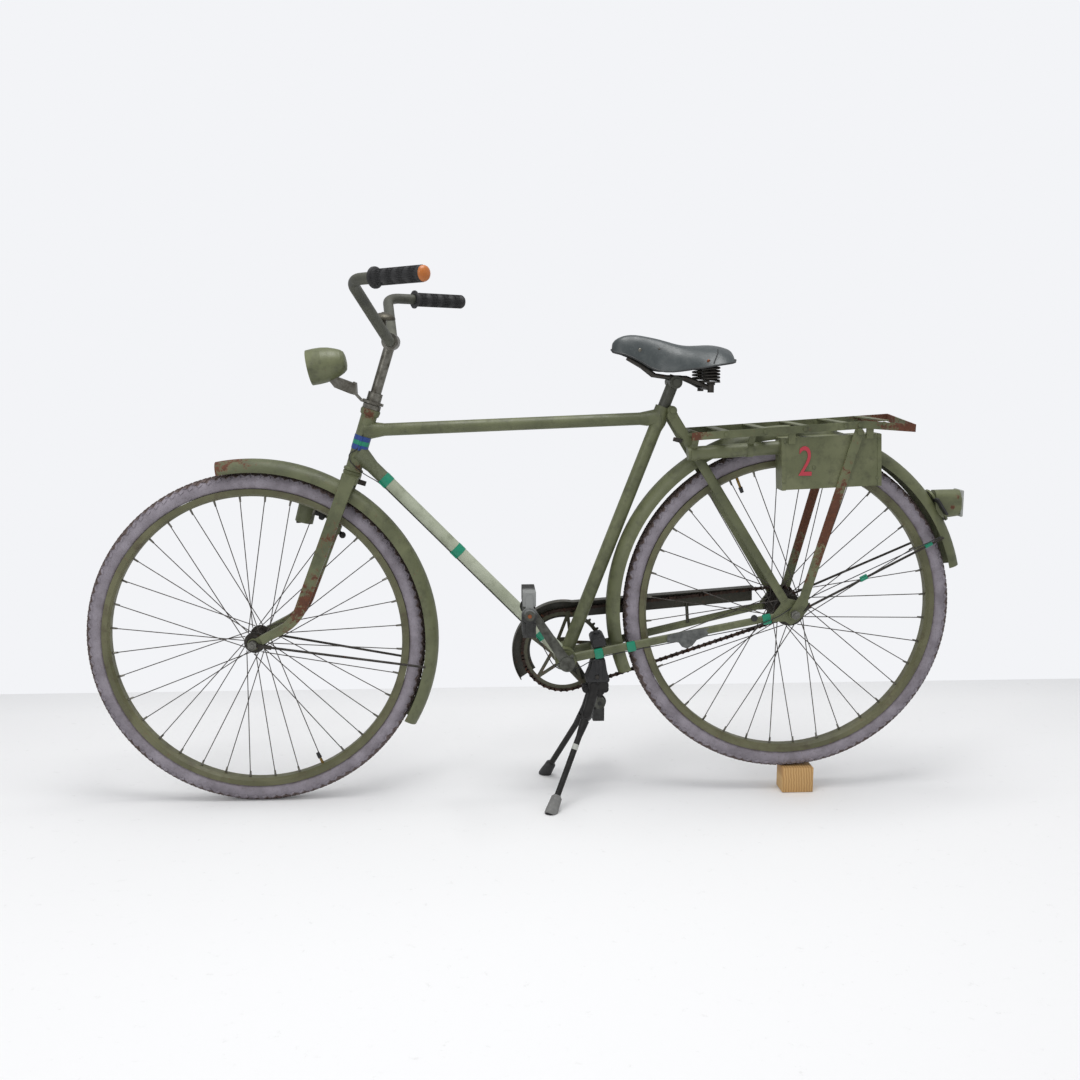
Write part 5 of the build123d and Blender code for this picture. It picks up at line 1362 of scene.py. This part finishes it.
@dataclass
class Tapes:
    """The coloured tapes that hold the wire to the frame."""

    tube_start: Vector = mm(-350.8, 0, 739.7)
    tube_end: Vector = mm(76.4, 0, 305.0)
    wire_radius: float = 2.1
    # The radius of the tube under each tape and the tape's width.
    head_fit: Pair = (16.6, 11.0)
    down_fit: Pair = (14.0, 19.0)
    guard_fit: Pair = (3.2, 17.0)
    stay_size: Point = (19.0, 10.6, 21.6)
    # From a tube's axis to the wire: beside the head tube, below and beside the down tube.
    head_wire: float = 17.8
    down_wire: Pair = (11.7, 9.8)
    # How far each tape lies along its tube, from the head tube's foot or the down tube's start.
    head_tapes: tuple[tuple[float, Moulded], ...] = ((77, BLUE_TAPE), (67, GREEN_TAPE), (58, BLUE_TAPE))
    down_tapes: tuple[float, ...] = (80, 288, 540)
    # The middles of the tapes on the left chain stay and on the mudguard's stay.
    stay_tapes: tuple[Point, ...] = ((146, -36.2, 318.1), (214, -38.8, 332.7), (496, -56.8, 392.2))
    guard_tapes: tuple[Point, ...] = ((700, -51.9, 475.2), (842, -33.8, 542.6))
    # The ends of the left chain stay and of the mudguard's stay.
    stay_run: tuple[Point, Point] = ((141.0, -36.0, 318.7), (504.0, -57.0, 395.5))
    guard_run: tuple[Point, Point] = ((585.0, -66.3, 420.8), (875.3, -29.6, 557.7))

    def band(self, name: str, middle: Vector, along: Vector, fit: Pair, finish: Moulded, wire: Vector) -> None:
        """One tape, wound tight round a tube and its wire.

        Args:
            name: The tape's name.
            middle: Its middle on the tube's axis.
            along: The tube's direction.
            fit: The tube's radius and the tape's width.
            finish: The tape's colour.
            wire: From the tube's axis to the wire.
        """
        radius, width = fit
        shape = Shape(name)
        half = along.normalized() * width / 2000
        for shift, grow in ((Vector(), 0.55), (half * 0.35, 0.8)):
            shape.rod(middle - half * 0.96 + shift, middle + half * 0.9 + shift * 0.2, (radius + grow) / 1000,
                      sides=28)
        shape.rod(middle + wire - half * 0.94, middle + wire + half * 0.92, self.wire_radius / 1000, sides=12)
        shape.build("frame", finish, "black_plastic")

    def build(self) -> None:
        """Wind every tape."""
        for number, (place, finish) in enumerate(self.head_tapes):
            self.band(f"head_tape_{number}", HEAD_FOOT + HEAD_UP * place / 1000, HEAD_UP, self.head_fit, finish,
                      mm(0, -self.head_wire, 0))
        along = (self.tube_end - self.tube_start).normalized()
        below, beside = self.down_wire
        wire = Vector((along.z, 0, -along.x)) * below / 1000 - mm(0, beside, 0)
        for number, place in enumerate(self.down_tapes):
            self.band(f"down_tape_{number}", self.tube_start + along * place / 1000, along, self.down_fit,
                      GREEN_TAPE, wire)
        start, end = (mm(*spot) for spot in self.stay_run)
        turn = (end - start).normalized().to_track_quat("X", "Z").to_matrix().to_4x4()
        for number, middle in enumerate(self.stay_tapes):
            shape = Shape(f"stay_tape_{number}")
            shape.block(Matrix.Translation(mm(*middle)) @ turn, mm(*self.stay_size), 0.0035)
            shape.build("frame", GREEN_TAPE, "black_plastic")
        start, end = (mm(*spot) for spot in self.guard_run)
        for number, middle in enumerate(self.guard_tapes):
            self.band(f"guard_tape_{number}", mm(*middle), end - start, self.guard_fit, GREEN_TAPE,
                      mm(-1.5, -1.0, 5.6 - 2 * number))


@dataclass
class Number:
    """The red painted number on the box."""

    digit: str = "2"
    middle: Vector = mm(560.0, -79.4, 725.5)
    height: float = 60.0
    width: float = 27.0

    def build(self) -> None:
        """Make the number a thin film on the box's side."""
        line = bpy.data.curves.new("scratch", "FONT")
        line.body = self.digit
        line.extrude = 0.02
        holder = bpy.data.objects.new("scratch", line)
        mesh = bpy.data.meshes.new_from_object(holder)
        part = bmesh.new()
        part.from_mesh(mesh)
        bpy.data.objects.remove(holder)
        bmesh.ops.remove_doubles(part, verts=part.verts[:], dist=1e-5)
        low = Vector([min(vertex.co[axis] for vertex in part.verts) for axis in range(3)])
        high = Vector([max(vertex.co[axis] for vertex in part.verts) for axis in range(3)])
        bmesh.ops.translate(part, vec=-(low + high) / 2, verts=part.verts[:])
        size = high - low
        bmesh.ops.scale(part, vec=(self.width / size.x / 1000, self.height / size.y / 1000, 0.02),
                        verts=part.verts[:])
        shape = Shape("box_number")
        shape.join(part, Matrix.Translation(self.middle) @ Matrix.Rotation(math.radians(90), 4, "X"))
        shape.build("frame", RED_PAINT, "olive_paint")


@dataclass
class Pedals:
    """The grooved rubber faces of both pedals."""

    # From the bottom bracket to the right pedal's eye. The left one lies opposite.
    crank: Vector = mm(82.13, 67.0, -125.5)
    inner: float = 11.0
    length: float = 88.0
    block_up: float = 31.5
    block_width: float = 24.0
    block_height: float = 28.0
    ribs: int = 9
    rib_pitch: float = 9.2
    rib_width: float = 4.6
    rib_rise: float = 1.1

    def build(self) -> None:
        """Make the ribs on each block."""
        size = mm(self.block_width + 2 * self.rib_rise, self.rib_width, self.block_height + 2 * self.rib_rise)
        for side in Side:
            shape = Shape(f"{side.label}_pedal_ribs")
            middle = BRACKET + self.crank * side.value + mm(0, side.value * (self.inner + self.length / 2), 0)
            for up in (-self.block_up, self.block_up):
                for rib in range(self.ribs):
                    step = (rib - (self.ribs - 1) / 2) * self.rib_pitch
                    shape.block(Matrix.Translation(middle + mm(0, step, up)), size, 0.0012)
            shape.build(f"pedal_{side.label}", PEDAL_RUBBER, "black_rubber")


@dataclass
class Stand:
    """The stand's boots and forgings, the band on its near leg, its ribbed cover and castings."""

    pivot_behind: float = 46.0
    pivot_side: float = 20.0
    pivot_height: float = 178.0
    foot_ahead: float = 36.0
    foot_side: float = 117.0
    band_height: float = 119.0
    # The forged top: distance below the pivot and radius, at its upper end, its shoulder and its foot.
    forging: tuple[Pair, ...] = ((12, 9.8), (42, 7.2), (46, 6.6))
    # A boot's profile: distance up the leg from its foot, radius.
    boot: tuple[Pair, ...] = (
        (-3.0, 0), (-3.0, 13.4), (6.0, 13.4), (20.0, 12.2), (34.4, 11.3), (36.5, 9.0), (39.0, 7.4), (39.0, 0),
    )
    # The cover's outline: behind the bottom bracket, above it.
    cover: tuple[Pair, ...] = (
        (57, -6), (60, -3), (82, -3), (85, -6), (89, -30), (95, -50), (93, -55), (45, -55), (43, -50), (52, -28),
    )
    cover_middle: Pair = (70, -29)
    # How far to the right each of its sections lies, and its share of the whole outline.
    cover_sections: tuple[Pair, ...] = ((-21, 0.94), (-18.5, 1.0), (18.5, 1.0), (21, 0.94))
    cover_ribs: tuple[float, ...] = (62.5, 71.5, 80.5)
    rib_size: Point = (3.0, 44.0, 42.0)
    rib_height: float = -29.0
    rib_lean: float = 0.05
    # Where the chain stays' clamp sits and how far it leans back.
    clamp_place: Point = (70, 0, 34.8)
    clamp_lean: float = math.atan(0.2116)
    # The castings under the cover: behind the bottom bracket, above it, radius, half width.
    castings: tuple[tuple[float, ...], ...] = (
        (62, -64, 13, 17), (80, -63, 13.5, 16), (72, -76, 12, 15), (86, -72, 8, 12), (46, -72, 9, 9),
    )

    def at(self, behind: float, side: float, up: float) -> Vector:
        """A place from the bottom bracket.

        Args:
            behind: Towards the rear.
            side: To the right.
            up: Above it.

        Returns:
            The place in the model.
        """
        return BRACKET + mm(behind, side, up)

    def pivot(self, side: Side) -> Vector:
        """Where a leg turns.

        Args:
            side: The leg's side.

        Returns:
            The place in the model.
        """
        return Vector((BRACKET.x, 0, 0)) + mm(self.pivot_behind, side.value * self.pivot_side, self.pivot_height)

    def dress_leg(self, side: Side, finish: Moulded) -> None:
        """Dress one leg: its forged top, its boot and, on the left, its pale chipped band.

        Args:
            side: The leg's side.
            finish: The boot's finish.
        """
        body = f"stand_{side.label}"
        pivot = self.pivot(side)
        foot = Vector((BRACKET.x, 0, 0)) + mm(-self.foot_ahead, side.value * self.foot_side, 0)
        up = (pivot - foot).normalized()
        forged = Shape(f"{side.label}_leg_forging")
        for (high, wide), (low, narrow) in zip(self.forging, self.forging[1:]):
            forged.rod(pivot - up * low / 1000, pivot - up * high / 1000, narrow / 1000, wide / 1000, 20)
        forged.build(body, BLACK_STEEL, "dark_steel")
        boot = Shape(f"{side.label}_boot")
        boot.turned(profile(self.boot), facing(foot, up), 28)
        boot.cut_below(0.0)
        boot.build(body, finish, "black_rubber")
        if side is Side.LEFT:
            band = Shape("left_leg_band")
            middle = foot.lerp(pivot, self.band_height / self.pivot_height)
            band.rod(middle - up * 0.006, middle + up * 0.006, 0.0068, sides=24)
            band.build(body, PALE_CHIP, "pale_paint")

    def dress_housing(self) -> None:
        """Make the clamp and the ribbed cover."""
        shape = Shape("stand_cover")
        middle, height = self.cover_middle
        shape.loft([
            [self.at(middle + (behind - middle) * share, side, height + (up - height) * share)
             for behind, up in self.cover]
            for side, share in self.cover_sections
        ])
        for behind in self.cover_ribs:
            seat = Matrix.Translation(self.at(behind, 0, self.rib_height))
            shape.block(seat @ Matrix.Rotation(-self.rib_lean, 4, "Y"), mm(*self.rib_size), 0.001)
        clamp = Matrix.Translation(self.at(*self.clamp_place)) @ Matrix.Rotation(-self.clamp_lean, 4, "Y")
        shape.block(clamp, mm(30, 74, 20), 0.005)
        shape.block(clamp @ Matrix.Translation(mm(0, 0, 9)), mm(24, 60, 8), 0.003)
        shape.rod(self.at(70, 0, 40), self.at(67.5, 0, 51), 0.008, 0.0065, 20)
        shape.rod(self.at(70, 0, -10), self.at(70, 0, 30), 0.0095, sides=24)
        shape.build("frame", BLACK_PLASTIC, "black_plastic", ("stand_housing",))

    def add_castings(self) -> None:
        """Make the castings below the cover, with their bolt."""
        shape = Shape("stand_castings")
        for behind, up, radius, half in self.castings:
            for reach, share, sides in ((half, 1.0, 20), (half + 1.5, 0.62, 16)):
                shape.rod(self.at(behind, -reach, up), self.at(behind, reach, up), radius * share / 1000,
                          sides=sides)
        for side in Side:
            shape.ball(self.pivot(side), 0.0105)
            shape.rod(self.pivot(side), self.at(66, side.value * 8, -62), 0.010, 0.012)
        shape.build("frame", BLACK_STEEL, "dark_steel")
        bolt = Shape("stand_bolt")
        bolt.rod(self.at(68, -23.5, -42), self.at(68, -20, -42), 0.0045, sides=6)
        bolt.build("frame", DARK_STEEL, "dark_steel")

    def build(self) -> None:
        """Make the stand's dress."""
        self.dress_housing()
        self.add_castings()
        self.dress_leg(Side.LEFT, GREY_RUBBER)
        self.dress_leg(Side.RIGHT, BLACK_RUBBER)


@dataclass
class Fasteners:
    """Small bolts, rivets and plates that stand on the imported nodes, and the tail lamp's lens."""

    # Name, place, direction, radius, height, sides, body, finish, slot.
    bolts: tuple[tuple, ...] = (
        ("crown_bolt", (-350.0, 0, 679.5), (0.954, 0, -0.301), 5.5, 14.0, 6, "steering", DARK_STEEL,
         "dark_steel"),
        ("dynamo_cap", (-483.3, 47, 596.0), (0.05, 0, -1), 6.5, 7.0, 20, "steering", DARK_STEEL, "dark_steel"),
        ("dynamo_knob_stem", (-402.0, 46, 572.0), (0.66, 0, -0.75), 4.0, 14.0, 16, "steering", BLACK_STEEL,
         "dark_steel"),
        ("stay_plug", (467.9, -63.6, 396.0), (0, -1, 0), 7.0, 2.4, 20, "frame", BLACK_RUBBER, "black_rubber"),
        ("wing_bolt", (312.0, -33.0, 764.0), (-0.97, 0, 0.24), 4.5, 16.0, 12, "frame", DARK_STEEL, "dark_steel"),
        ("seat_bolt", (291.3, -18.0, 812.2), (0, -1, 0), 5.0, 6.0, 6, "frame", PLATING, "bare_steel"),
        ("left_pedal_cap", (-5.7, -166.0, 430.5), (0, -1, 0), 10.5, 10.6, 24, "pedal_left", CRANK_STEEL,
         "bare_steel"),
        ("left_pedal_nut", (-5.7, -176.0, 430.5), (0, -1, 0), 4.6, 2.4, 6, "pedal_left", COPPER, "bell_metal"),
        ("right_pedal_cap", (158.5, 166.0, 179.5), (0, 1, 0), 10.5, 10.6, 24, "pedal_right", CRANK_STEEL,
         "bare_steel"),
    )
    # Places on the box's near side, X and Z.
    box_rivets: tuple[Pair, ...] = ((517, 682), (517, 764), (710, 690), (710, 770), (578, 712))
    box_side: float = -79.3
    # The plate on the left chain stay, X and Z round its outline, and its two faces' Y.
    plate: tuple[Pair, ...] = (
        (288, 343), (302, 345), (312, 343), (319, 334), (330, 330), (341, 336), (350, 348), (373, 357),
        (375, 374), (332, 369), (288, 359),
    )
    plate_sides: Pair = (-49.7, -52.2)
    lamp_back: Vector = mm(865.8, 0, 622.7)
    lamp_axis: Vector = Vector((0.8339, 0, 0.5519))
    lens_middle: Vector = mm(914.9, 0, 628.7)

    def add_bolts(self) -> None:
        """Make each bolt of the table."""
        for name, place, aim, radius, height, sides, body, finish, slot in self.bolts:
            shape = Shape(name)
            out = Vector(aim)
            start = mm(*place)
            end = start + out * height / 1000
            shape.rod(start - out * 0.002, end, radius / 1000, radius * 0.94 / 1000, sides)
            shape.build(body, finish, slot)

    def add_rivets(self) -> None:
        """Make the rivets of the box."""
        shape = Shape("box_rivets")
        for x, z in self.box_rivets:
            shape.ball(mm(x, self.box_side, z), 0.0032, Vector((1, 0.5, 1)))
        shape.build("frame", OLIVE, "olive_paint")

    def add_dynamo_bracket(self) -> None:
        """Make the dynamo's hinge block, its pin and the knob ahead of it."""
        shape = Shape("dynamo_bracket")
        shape.block(facing(mm(-433, 47, 606), Vector((0.36, 0, 0.93))), mm(24, 12, 22), 0.004)
        shape.rod(mm(-462, 47, 614), mm(-436, 47, 608), 0.0055, 0.007)
        shape.ball(mm(-393, 46, 562), 0.0072)
        shape.build("steering", BLACK_STEEL, "dark_steel")

    def add_plate(self) -> None:
        """Make the speckled plate on the left chain stay."""
        shape = Shape("stay_plate")
        shape.loft([[mm(x, side, z) for x, z in self.plate] for side in self.plate_sides])
        shape.build("frame", PLATE_STEEL, "dark_steel")

    def add_tail_lamp(self) -> None:
        """Make the tail lamp's gasket and lens."""
        gasket = Shape("tail_gasket")
        seat = facing(self.lamp_back + self.lamp_axis * 0.0021, self.lamp_axis)
        gasket.block(seat, mm(77.0, 41.0, 4.6), 0.0015)
        gasket.build("frame", BLACK_RUBBER, "black_rubber")
        lens = Shape("tail_lens")
        lens.block(Matrix.Translation(self.lens_middle), mm(6.0, 46.6, 56.8), 0.0026)
        lens.build("frame", LENS_GREY, "clear_glass")

    def build(self) -> None:
        """Make every fastener."""
        self.add_bolts()
        self.add_rivets()
        self.add_dynamo_bracket()
        self.add_plate()
        self.add_tail_lamp()


@dataclass
class Block:
    """The sawn wooden block under the rear wheel."""

    def build(self) -> None:
        """Make the block with eased edges."""
        low, high = corners("wheel_block")
        shape = Shape("sawn_block")
        shape.block(Matrix.Translation((low + high) / 2), high - low, 0.0016)
        shape.build("frame", WOOD, "wood", ("wheel_block",))


@dataclass
class Studio:
    """The camera at the photograph's angle, a pale floor and soft light."""

    camera_place: Point = (-0.1024, -2.4007, 0.9273)
    lens_mm: float = 38.63
    sensor_mm: float = 36.0
    pitch_down: float = 8.803
    turn_right: float = 3.006
    floor_back: float = 0.83
    floor_front: float = -5.0
    floor_half_width: float = 5.0
    backdrop: Colour = colour(243, 244, 247)
    room_light: float = 0.64
    # Name, place, target, size, power.
    lamps: tuple[tuple, ...] = (
        ("top_lamp", (0.2, -0.4, 3.2), (0.1, 0.0, 0.4), 1.7, 58.0),
        ("front_lamp", (-2.2, -2.6, 2.2), (0.0, 0.0, 0.5), 1.2, 20.0),
    )

    def place_camera(self) -> None:
        """Stand the camera where the photograph was taken."""
        lens = bpy.data.cameras.new("camera")
        lens.lens = self.lens_mm
        lens.sensor_width = self.sensor_mm
        eye = bpy.data.objects.new("camera", lens)
        eye.location = self.camera_place
        eye.rotation_euler = (math.radians(90 - self.pitch_down), 0.0, math.radians(-self.turn_right))
        bpy.context.scene.collection.objects.link(eye)
        bpy.context.scene.camera = eye

    def lay_floor(self) -> None:
        """Lay the pale scuffed floor, with painted shade along its back edge for the shadow at the wall's foot.
        """
        sheet = bmesh.new()
        bmesh.ops.create_grid(sheet, x_segments=1, y_segments=1, size=1.0)
        middle = (self.floor_back + self.floor_front) / 2
        half_depth = (self.floor_back - self.floor_front) / 2
        bmesh.ops.scale(sheet, vec=(self.floor_half_width, half_depth, 1.0), verts=sheet.verts)
        bmesh.ops.translate(sheet, vec=(0.0, middle, -0.0005), verts=sheet.verts)
        mesh = bpy.data.meshes.new("floor")
        sheet.to_mesh(mesh)
        sheet.free()
        floor = bpy.data.objects.new("floor", mesh)
        bpy.context.scene.collection.objects.link(floor)
        graph = Graph("floor_paint")
        scuffs = graph.step(graph.noise(34.0, 9.0, 0.8), 0.6, 0.66, 0.0, 0.35)
        base = graph.mix(scuffs, colour(240, 240, 240), colour(206, 206, 204))
        # Painted shade: the floor darkens towards its back edge, where the wall's foot casts shadow.
        shade = graph.step(graph.axis("Y"), self.floor_back - 0.2, self.floor_back, 0.0, 0.16)
        base = graph.mix(shade, base, colour(200, 201, 204))
        mesh.materials.append(graph.done(base, 0.7))

    def light(self) -> None:
        """Light the room evenly, brighter where the camera sees it, and hang the lamps."""
        world = bpy.data.worlds.new("room")
        world.use_nodes = True
        tree = world.node_tree
        shell = tree.nodes["Background"]
        shell.inputs["Color"].default_value = (*self.backdrop, 1.0)
        path = tree.nodes.new("ShaderNodeLightPath")
        seen = tree.nodes.new("ShaderNodeMath")
        seen.operation = "MAXIMUM"
        tree.links.new(path.outputs["Is Camera Ray"], seen.inputs[0])
        tree.links.new(path.outputs["Is Transmission Ray"], seen.inputs[1])
        level = tree.nodes.new("ShaderNodeMapRange")
        level.inputs["To Min"].default_value = self.room_light
        level.inputs["To Max"].default_value = 1.0
        tree.links.new(seen.outputs[0], level.inputs["Value"])
        tree.links.new(level.outputs["Result"], shell.inputs["Strength"])
        bpy.context.scene.world = world
        for name, place, target, size, power in self.lamps:
            lamp = bpy.data.lights.new(name, "AREA")
            lamp.size = size
            lamp.energy = power
            holder = bpy.data.objects.new(name, lamp)
            holder.location = place
            aim = Vector(target) - Vector(place)
            holder.rotation_euler = aim.to_track_quat("-Z", "Y").to_euler()
            bpy.context.scene.collection.objects.link(holder)

    def build(self) -> None:
        """Set up the whole studio."""
        self.place_camera()
        self.lay_floor()
        self.light()
        bpy.context.scene.view_settings.view_transform = "Standard"


def main() -> None:
    """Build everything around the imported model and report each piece."""
    logging.basicConfig(level=logging.INFO, format="%(name)s: %(message)s")
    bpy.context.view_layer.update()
    Studio().build()
    dress_nodes()
    pieces = (Tyre("front", -65.0, 287.0), Tyre("rear", 112.1, 277.0), Nipples("front"), Nipples("rear"),
              Saddle(), Grips(), Bell(), Chain(), Tapes(), Number(), Pedals(), Stand(), Fasteners(), Block())
    for piece in pieces:
        piece.build()


if __name__ == "__main__":
    main()
